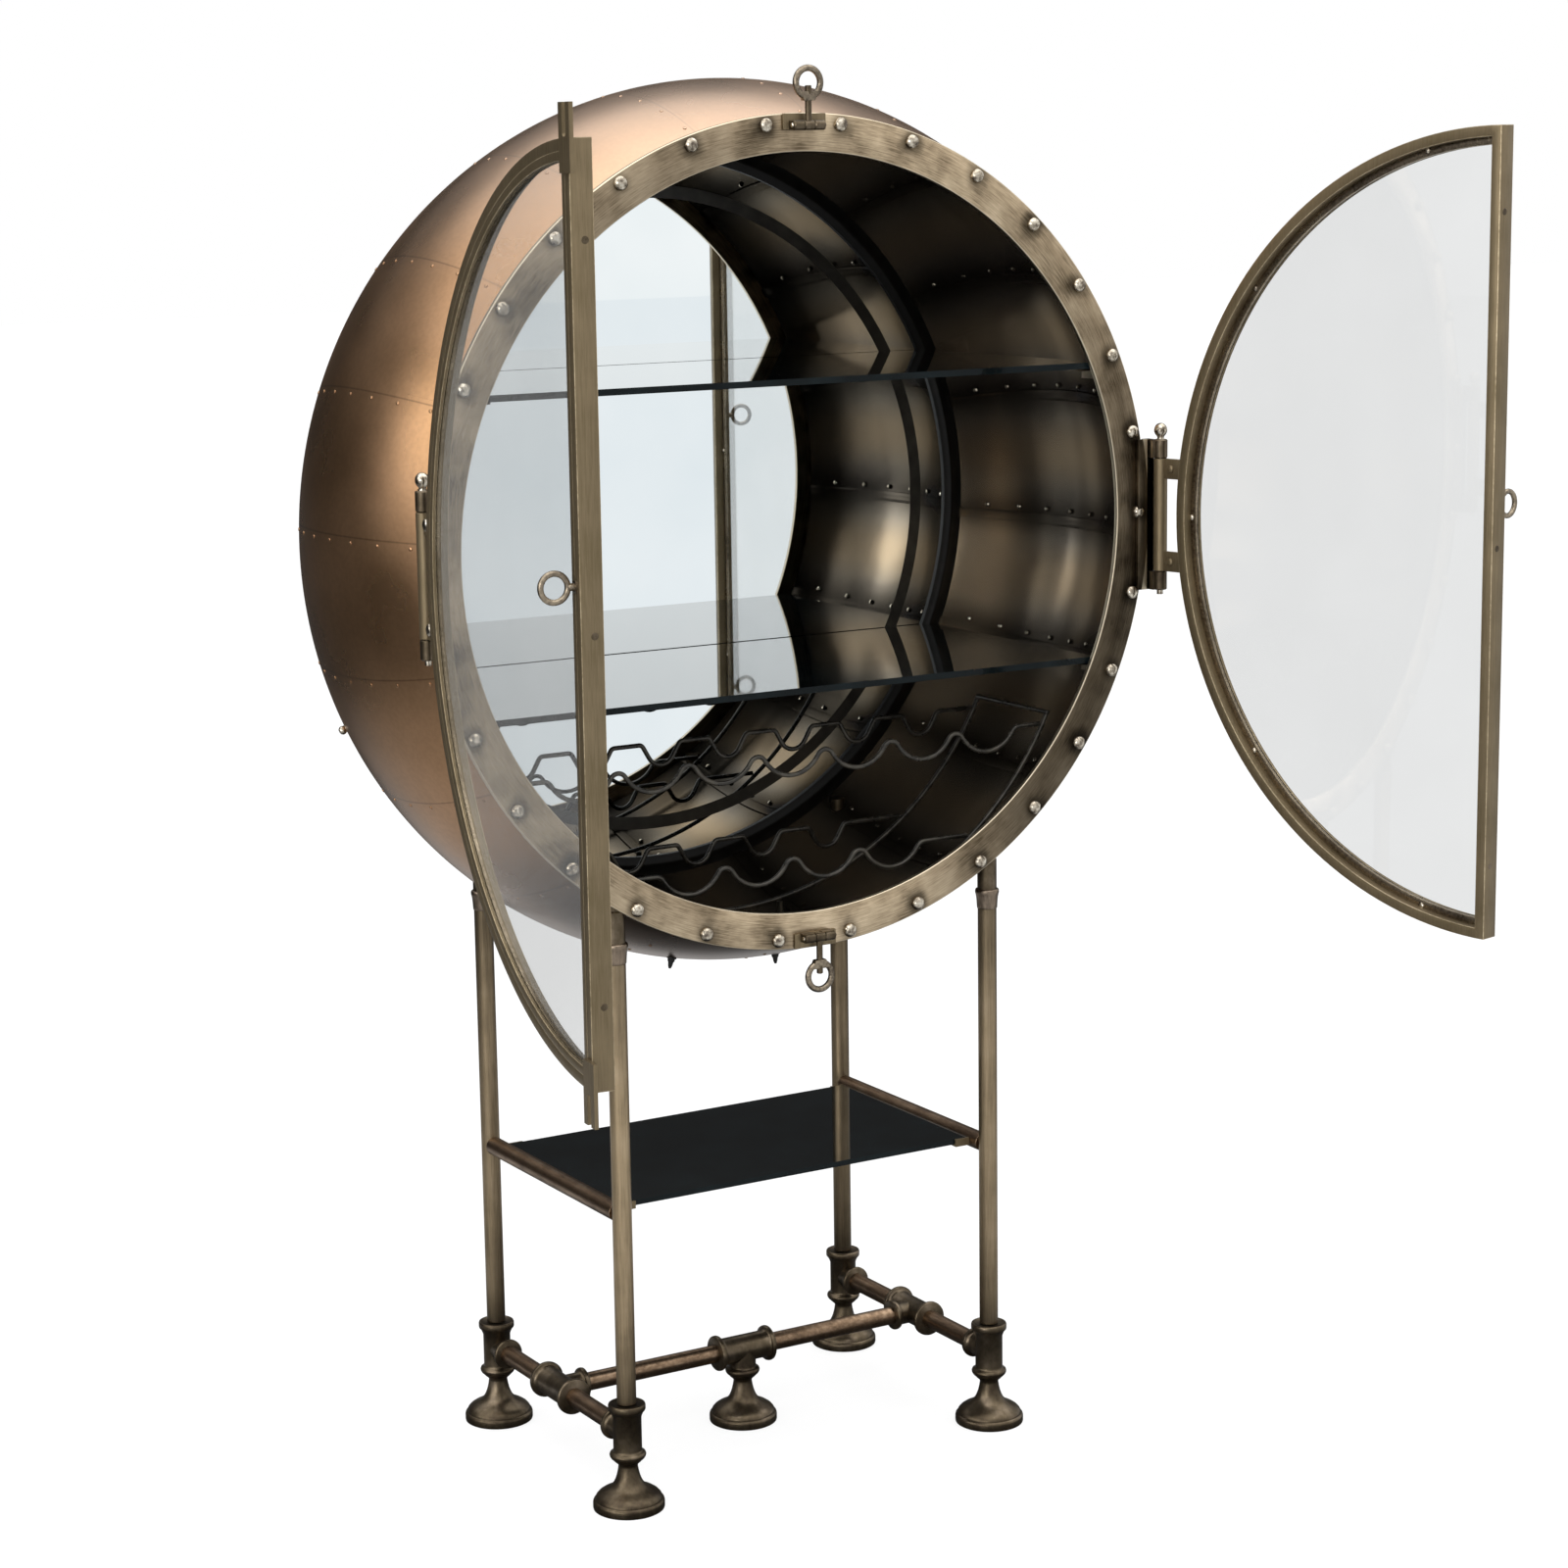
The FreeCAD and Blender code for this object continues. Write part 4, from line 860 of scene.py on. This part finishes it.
def buildHandle():                               # an eye on the stile
    spot = (door["meet"] + handle["fromMeet"], door["front"], axisZ + handle["height"])
    ringY = door["front"] - handle["stand"] - handle["od"] / 2
    eye = eyeRing((spot[0], ringY, spot[2]), (1, 0, 0), handle["od"], handle["bar"])
    shankY = ringY + handle["od"] / 2 - handle["bar"] / 2
    shank = tube(spot, (spot[0], shankY, spot[2]), handle["shank"], 0.8, 24)
    return [eye, shank, place(turnProfile(handle["collar"], 24), spot, toFront)]


def buildDoor(side):
    framePieces, bead = buildFrame()
    strap, bolts = buildHingeStrap()
    eye = buildHandle()
    pins = buildPins()
    clips = buildClips()
    sets = (("frame", framePieces, None, "antique_brass"), ("bead", [bead], None, "antique_brass"),
            ("hinge_strap", strap, doorBrass, "antique_brass"), ("handle", eye, eyeBrass, "antique_brass"),
            ("screws", clips + [bolts], pewter, "pewter"), ("pins", [pins], castBronze, "dark_bronze"))
    for name, pieces, material, slot in sets:
        piece = join(pieces)
        if side == "left":
            mirrored = flipped(piece, leftRight)
            bpy.data.objects.remove(piece)
            piece = mirrored
        swungOpen(piece, side)
        nodes = () if name in ("screws", "pins") else (side + "_door_" + name,)
        finishPiece(piece, side + "_" + name + "_made", material, nodes, body=side + "_door")


for side in ("left", "right"):
    buildDoor(side)
print("doors done")


# hinge plates and pins on the ring
finial = {"below": 6,
          "profile": [(0, 0), (4, 0), (4, 201.2), (4.9, 201.2), (4.2, 203), (4.8, 205), (7.0, 207.6),
                      (8.3, 210.6), (8.5, 213.2), (8.0, 216), (6.6, 218.8), (4.4, 220.9), (2, 221.8),
                      (0, 222)]}
plateBottom = hingeLow - hinge["gap"] - hinge["knuckle"]
plateTop = hingeHigh + hinge["gap"] + hinge["knuckle"]


def buildHingePlate():
    front = hinge["y"] + hinge["barrel"] / 2 + 0.7   # clear of the moving barrel
    outer = ring["outer"] + hinge["plateOut"]
    leaf = block((ring["outer"] - hinge["plateIn"], front, plateBottom), (outer, face - 0.1, plateTop), 1.0)
    pieces = [block((ring["outer"] - hinge["plateSide"], front, plateBottom), (outer, back, plateTop), 1.0)]
    for z in (plateBottom, hingeHigh + hinge["gap"]):
        top = z + hinge["knuckle"]
        pieces.append(tube((*hingeAxis, z), (*hingeAxis, top), hinge["barrel"], 1.2, 40))
        pieces.append(block((outer - hinge["lugDeep"], hinge["y"], z), (outer, front + 2, top), 0.8))
    return join(pieces), leaf


plate, leaf = buildHingePlate()
finishPiece(paired(plate, leftRight), "hinge_plate_pair", castBronze, ("hinge_plates",))
finishPiece(paired(leaf, leftRight), "hinge_leaf_pair", ringBrass)
pin = place(turnProfile(finial["profile"], 32), (*hingeAxis, plateBottom - finial["below"]))
finishPiece(paired(pin, leftRight), "finial_pins", pewter, ("hinge_pins",), 50)

# swing bolts: lugs on the ring, a bolt on a cross pin and an eye nut
dog = {"y": -212, "z": 1695, "knuckleD": 12, "knuckleL": 15, "barrelL": 13, "gap": 0.4, "lugHalf": 5.5,
       "plateHalf": 30, "plateLow": 5, "plateHigh": 14, "plateThick": 3, "pinD": 6, "pinOut": 2, "shank": 8,
       "nutStop": 28.5, "baseHalf": 8, "baseDeep": 4.6, "baseTall": 11.5, "spread": (1.55, 0.8, 1),
       "past": 6.6, "eye": 42, "bar": 8, "eyeUp": 0.5}


def buildDogs():
    y = dog["y"]
    z = dog["z"]
    half = dog["barrelL"] / 2
    plate = block((-dog["plateHalf"], face - dog["plateThick"], z - dog["plateLow"]),
                  (dog["plateHalf"], face - 0.05, z + dog["plateHigh"]), 0.9, 1)
    giveMaterials(plate, doorBrass, edgeWearAndHighlight)
    lugs = []
    for way in (-1, 1):
        a = way * (half + dog["gap"])
        b = a + way * dog["knuckleL"]
        lugs.append(tube((a, y, z), (b, y, z), dog["knuckleD"], 1.2, 32))
        lugs.append(block((min(a, b), y, z - dog["lugHalf"]), (max(a, b), face - 1, z + dog["lugHalf"]), 0.8))
    reach = half + dog["gap"] + dog["knuckleL"] + dog["pinOut"]
    cross = tube((-reach, y, z), (reach, y, z), dog["pinD"], 0.8, 24)
    nutZ = z + dog["nutStop"]
    nutTop = nutZ + dog["baseTall"]
    bolt = [tube((-half, y, z), (half, y, z), dog["knuckleD"], 0.8, 32),
            tube((0, y, z), (0, y, nutTop + dog["past"]), dog["shank"], 0.8, 28)]
    # the nut's base spreads from its flat seat into the eye
    base = block((-dog["baseHalf"], y - dog["baseDeep"], nutZ),
                 (dog["baseHalf"], y + dog["baseDeep"], nutTop), 1.2)
    startEdit(base)
    pickVerts(base, lambda co: co.z > (nutZ + nutTop) / 2 * mm)
    bpy.ops.transform.resize(value=dog["spread"], center_override=(0, y * mm, 0))
    endEdit()
    eye = eyeRing((0, y, nutZ + dog["eyeUp"] + dog["eye"] / 2), toBack, dog["eye"], dog["bar"])
    return plate, join(lugs), cross, join(bolt), join([eye, base])


dogPlate, lugs, cross, swingBolt, eyeNut = buildDogs()
finishPiece(paired(dogPlate, topBottom), "dog_plates", None, ("dog_lugs",))
finishPiece(paired(lugs, topBottom), "dog_lug_pair", castBronze)
finishPiece(paired(cross, topBottom), "dog_cross_pins", pewter, ("dog_pins",))
for name, piece, node, body, look, slot in (
        ("_swing_bolt", swingBolt, "_dog_bolt", "_dog", castBronze, "dark_bronze"),
        ("_swing_nut", eyeNut, "_eye_nut", "_nut", eyeBrass, "antique_brass")):
    for end, made in (("bottom", flipped(piece, topBottom)), ("top", piece)):
        finishPiece(made, end + name, look, (end + node,), body=end + body)
print("hinges and swing bolts done")


# pipe stand
stand = {"x": 272, "y": 183, "leg": 24.4, "legTop": 698.5, "teeTop": 137, "footTop": 64, "branchZ": 99.5,
         "reach": 36, "run": 41, "railZ": 381, "rail": 24, "stretcher": 24, "fittingR": 18, "rimR": 23.5,
         "branchR": 15, "branchRimR": 20, "rimW": 8}
sides = (-stand["x"], stand["x"])
corners = [(x, y) for x in sides for y in (-stand["y"], stand["y"])]

footProfile = [(0, 0), (43.4, 0), (44.6, 0.7), (45, 2.2), (45, 8.6), (44.4, 10.8), (43, 12), (42.3, 12.4),
               (42.2, 13.4), (41.2, 16), (38.6, 19), (34.6, 21.8), (29.6, 24.3), (25, 26.8), (21.4, 29.6),
               (18.6, 33.2), (16.4, 37.8), (14.6, 43), (13.2, 49), (12.3, 54.5), (12.2, 57), (13.6, 58.8),
               (16.6, 61.4), (19, 64), (0, 64)]
feet = repeat(turnProfile(footProfile, 64), [standing((x, y, 0)) for x, y in [(0, 0)] + corners])
finishPiece(feet, "flanged_feet", castBronze, ("feet",), 50)


def runProfile(length, bodyR, rimR, rimW):       # a pipe fitting: a rounded rim at both ends of a plain body
    neck = rimW * 0.25
    left = [(0, 0), (rimR - 1.6, 0), (rimR - 0.4, 0.8), (rimR, 2.2), (rimR, rimW - neck - 1.6),
            (rimR - 0.6, rimW - neck), (bodyR + 1.8, rimW - neck + 0.6), (bodyR + 0.6, rimW + 0.6),
            (bodyR, rimW + 2.6)]
    return left + [(r, length - h) for r, h in reversed(left)]


# a leg tee: a bead that tapers to the foot, a plain body and a dished rim round the leg
teeProfile = [(0, 0), (19, 0), (21.2, 2.0), (22.6, 4.4), (23, 6.6), (22.2, 8.8), (19.6, 10.2), (18.3, 11.2),
              (18, 13), (18, 55.5), (18.5, 56.2), (18.7, 57.4), (20.4, 61), (21.8, 63.4), (23, 64.4),
              (23.5, 65.8), (23.5, 70.6), (22.8, 72.4), (21.6, 73), (19.6, 72.2), (18, 71.4), (12, 71.4),
              (0, 71.4)]
beadEnd = 14                                     # height of the tee's bead, which the centre pipe has too
runZ = stand["branchZ"]
legTees = repeat(turnProfile(teeProfile, 48), [standing((x, y, stand["footTop"])) for x, y in corners])
branchRun = runProfile(stand["reach"], stand["branchR"], stand["branchRimR"], stand["rimW"])
branchProfile = [(0, 0), (stand["branchR"], 0)] + [(r, h) for r, h in branchRun if h > stand["reach"] / 2]
branchMoves = [standing((x, y, runZ), (0, -y, 0)) for x, y in corners]
branchMoves += [standing((x, 0, runZ), (-x, 0, 0)) for x in sides]
branches = repeat(turnProfile(branchProfile, 44), branchMoves)
runMoves = [standing((x, -stand["run"], runZ), toBack) for x in sides]
runMoves += [standing((-stand["run"], 0, runZ), (1, 0, 0))]
teeRun = runProfile(2 * stand["run"], stand["fittingR"], stand["rimR"], stand["rimW"])
runs = repeat(turnProfile(teeRun, 48), runMoves)
dropProfile = [point for point in teeProfile if point[1] < beadEnd]
dropProfile += [(stand["fittingR"], runZ - stand["footTop"])]
drop = place(turnProfile(dropProfile, 48), (0, 0, stand["footTop"]))
fittings = join([legTees, branches, runs, drop])
finishPiece(fittings, "pipe_fittings", castBronze, ("pipe_tees",), 50)

leg = tube((0, 0, stand["teeTop"]), (0, 0, stand["legTop"]), stand["leg"], 0.4, 48)
legs = repeat(leg, [standing((x, y, 0)) for x, y in corners])
finishPiece(legs, "pipe_legs", pipeBrass, ("legs",))

# a flared sleeve on each leg's end, and the stub that carries the drum
collar = {"tall": 25.5, "stub": 12.5, "behindRing": 10.6, "step": (18, 16), "into": 9,
          "profile": [(0, 0), (12.8, 0), (13.1, 0.5), (13.3, 4), (13.6, 9), (14.1, 14.5), (14.8, 18.4),
                      (15.4, 20.4), (15.5, 21.6), (15.4, 23.6), (15.0, 24.8), (14.2, 25.5), (0, 25.5)]}
stubs = []
for x, y in corners:
    stubFoot = stand["legTop"] + collar["tall"]
    tall = axisZ - math.sqrt(onWall(y) ** 2 - x ** 2) - stubFoot
    top = tall + collar["into"]
    stub = turnProfile([(0, 0), (collar["stub"], 0), (collar["stub"], tall - collar["step"][0]),
                        (collar["behindRing"], tall - collar["step"][1]), (collar["behindRing"], top),
                        (0, top)], 40)
    stubs.append(place(stub, (x, y, stubFoot)))
finishPiece(join(stubs), "collar_stubs", castBronze)
sleeves = repeat(turnProfile(collar["profile"], 40), [standing((x, y, stand["legTop"])) for x, y in corners])
finishPiece(sleeves, "leg_collars", sleeveBrass, ("leg_sockets",), 50)

tubes = []
for x in sides:
    toward = -math.copysign(1, x)
    for y in (-stand["y"], stand["y"]):
        way = math.copysign(1, y)
        tubes.append(tube((x, y - way * stand["reach"], runZ), (x, way * stand["run"], runZ),
                          stand["stretcher"], 0.4, 40))
    tubes.append(tube((x + toward * stand["reach"], 0, runZ), (-toward * stand["run"], 0, runZ),
                      stand["stretcher"], 0.4, 40))
finishPiece(join(tubes), "stretcher_pipes", pipeAcross, ("stretchers",))
inside = stand["y"] - stand["leg"] / 2 + 1       # the rails run 1 mm into the legs
rail = tube((0, -inside, stand["railZ"]), (0, inside, stand["railZ"]), stand["rail"], 0.3, 36)
finishPiece(repeat(rail, [standing((x, 0, 0)) for x in sides]), "glass_rails", pipeAcross,
            ("shelf_rails",))

# two screw tips that come through the drum's underside, and a bolt at each side
tip = {"x": (-127, 25), "y": -60, "proud": 0.6,
       "profile": [(0, 0), (6.4, 0), (6.4, 1.6), (4.8, 2.4), (4.6, 5.4), (3.6, 6), (2.8, 11), (1.6, 14.4),
                   (0, 15)]}
tipMoves = []
for x in tip["x"]:
    tall = math.sqrt(onWall(tip["y"], tip["proud"]) ** 2 - x ** 2)
    tipMoves.append(standing((x, tip["y"], axisZ - tall), (x / tall, 0, -1)))
finishPiece(repeat(turnProfile(tip["profile"], 18), tipMoves), "screw_tips", blackSteel)
sideBolt = {"y": 105, "z": -228,
            "profile": [(4.6, -1), (4.6, 2.4), (5.6, 4.2), (5.4, 7), (3.8, 9.2), (0, 10)]}
out = math.sqrt(onWall(sideBolt["y"]) ** 2 - sideBolt["z"] ** 2)
knob = place(turnProfile(sideBolt["profile"], 20), (-out, sideBolt["y"], axisZ + sideBolt["z"]),
             (-out, 0, sideBolt["z"]))
finishPiece(paired(knob, leftRight), "side_bolts", pewter)
print("stand done")


# stage: floor, light and camera
deselectAll()
bpy.ops.mesh.primitive_plane_add(size=60, location=(0, 0, -0.5 * mm))
floor = bpy.context.object
floor.name = "studio_floor"
floorPaint, tree, shader, coords = newMaterial("white_studio_floor")
setNode(tree, shader, {"Base Color": hexColour("#f4f4f4"), "Roughness": 0.9})
path = addNode(tree, "LightPath")
white = addNode(tree, "Emission", {"Color": (1, 1, 1, 1), "Strength": 1.0})
part = addNode(tree, "Math", {"operation": "MULTIPLY", 1: 0.85}, {0: path.outputs["Is Camera Ray"]})
share = addNode(tree, "Math", {"operation": "MAXIMUM"}, {0: part, 1: path.outputs["Is Transmission Ray"]})
shown = addNode(tree, "MixShader", links={0: share, 1: shader, 2: white})
# what metal and glass mirror: bright ahead of the object, a painted shadow under it and dim far round it
split = addNode(tree, "SeparateXYZ", links={0: coords})
ahead = addNode(tree, "MapRange",
                {**smooth, "From Min": -0.25, "From Max": -1.1, "To Min": 0.0, "To Max": 1.02},
                {"Value": split.outputs["Y"]})
reach = addNode(tree, "VectorMath", {"operation": "LENGTH"}, {0: coords})
around = addNode(tree, "MapRange",
                 {**smooth, "From Min": 0.7, "From Max": 3.2, "To Min": 0.75, "To Max": 0.06},
                 {"Value": reach})
# painted shadow under the object, seen in reflections
under = addNode(tree, "MapRange",
                {**smooth, "From Min": 0.35, "From Max": 1.0, "To Min": 0.08, "To Max": 1.0},
                {"Value": reach})
shaded = addNode(tree, "Math", {"operation": "MULTIPLY"}, {0: around, 1: under})
fade = addNode(tree, "Math", {"operation": "MAXIMUM"}, {0: ahead, 1: shaded})
glow = addNode(tree, "Emission", {"Color": hexColour("#f6f8fa")}, {"Strength": fade})
mirrored = addNode(tree, "Math", {"operation": "SUBTRACT", "use_clamp": True},
                   {0: path.outputs["Is Glossy Ray"], 1: path.outputs["Is Transmission Ray"]})
mix = addNode(tree, "MixShader", links={0: mirrored, 1: shown, 2: glow})
setNode(tree, tree.nodes["Material Output"], links={"Surface": mix})
giveMaterials(floor, floorPaint)

# a studio for the reflections: bright in front, brighter overhead, dark behind, softboxes on the left
world = bpy.data.worlds.new("studio")
bpy.context.scene.world = world
world.use_nodes = True
tree = world.node_tree
path = addNode(tree, "LightPath")
way = addNode(tree, "TexCoord").outputs["Generated"]
split = addNode(tree, "SeparateXYZ", links={0: way})
glows = []
for axis, dim, bright, strength in (("Y", 0.55, 0.1, 1.0), ("Z", 0.28, 0.44, 0.2), ("Z", 0.52, 0.84, 1.7)):
    glows.append(addNode(tree, "MapRange", {**smooth, "From Min": dim, "From Max": bright, "To Min": 0.01,
                                            "To Max": strength}, {"Value": split.outputs[axis]}))
across = addNode(tree, "VectorMath", {"operation": "MULTIPLY_ADD", 1: (0, 2.3, 4.0), 2: (0, 0.12, -1.4)},
                 {0: way})
fromMiddle = addNode(tree, "VectorMath", {"operation": "LENGTH"}, {0: across})
boxGlow = addNode(tree, "MapRange",
                  {**smooth, "From Min": 1.15, "From Max": 0.45, "To Min": 0.0, "To Max": 2.4},
                  {"Value": fromMiddle})
onLeft = addNode(tree, "Math", {"operation": "LESS_THAN", 1: 0.0}, {0: split.outputs["X"]})
glows.append(addNode(tree, "Math", {"operation": "MULTIPLY"}, {0: boxGlow, 1: onLeft}))
near = addNode(tree, "VectorMath", {"operation": "DOT_PRODUCT", 1: (-0.84, -0.54, 0.04)}, {0: way})
glows.append(addNode(tree, "MapRange",
                     {**smooth, "From Min": 0.93, "From Max": 0.985, "To Min": 0.0, "To Max": 5.0},
                     {"Value": near}))
level = glows[0]
for glow in glows[1:]:
    level = addNode(tree, "Math", {"operation": "ADD"}, {0: level, 1: glow})
seen = addNode(tree, "Math", {"operation": "MAXIMUM"},
               {0: path.outputs["Is Camera Ray"], 1: path.outputs["Is Transmission Ray"]})
shown = addNode(tree, "Mix", {"data_type": "FLOAT", 3: 1.0}, {0: seen, 2: level})
setNode(tree, tree.nodes["Background"], {"Color": (1, 1, 1, 1)}, {"Strength": shown})

lamps = {"key_softbox": ((-1.6, -2.6, 3.6), (0, 0, 1.2), 2.2, 40),
         "top_softbox": ((0.2, 0.3, 3.4), (0, 0, 1.2), 2.0, 30)}
for name, (spot, aim, size, power) in lamps.items():
    lamp = bpy.data.lights.new(name, "AREA")
    lamp.shape = "SQUARE"
    lamp.size = size
    lamp.energy = power
    holder = bpy.data.objects.new(name, lamp)
    bpy.context.scene.collection.objects.link(holder)
    holder.visible_glossy = False                # the reflections come from the studio above
    holder.location = spot
    holder.rotation_euler = (Vector(aim) - Vector(spot)).to_track_quat("-Z", "Y").to_euler()

view = {"azimuth": -30.7465, "elevation": 10.5178, "roll": -0.8681, "spot": (-2.1757, -3.7889, 1.6727),
        "lens": 79.08}
azimuth, elevation, roll = (math.radians(view[key]) for key in ("azimuth", "elevation", "roll"))
backward = Vector((math.sin(azimuth) * math.cos(elevation), -math.cos(azimuth) * math.cos(elevation),
                   math.sin(elevation)))
right = (-backward).cross(Vector((0, 0, 1))).normalized()
up = right.cross(-backward)
tiltRight = right * math.cos(roll) + up * math.sin(roll)
tiltUp = up * math.cos(roll) - right * math.sin(roll)
lens = bpy.data.cameras.new("photo_camera")
lens.lens = view["lens"]
lens.sensor_width = 36
lens.clip_end = 200
camera = bpy.data.objects.new("photo_camera", lens)
bpy.context.scene.collection.objects.link(camera)
turned = Matrix((tiltRight, tiltUp, backward)).transposed().to_4x4()
camera.matrix_world = Matrix.Translation(view["spot"]) @ turned
bpy.context.scene.camera = camera
bpy.context.scene.view_settings.view_transform = "Standard"
print("stage done")
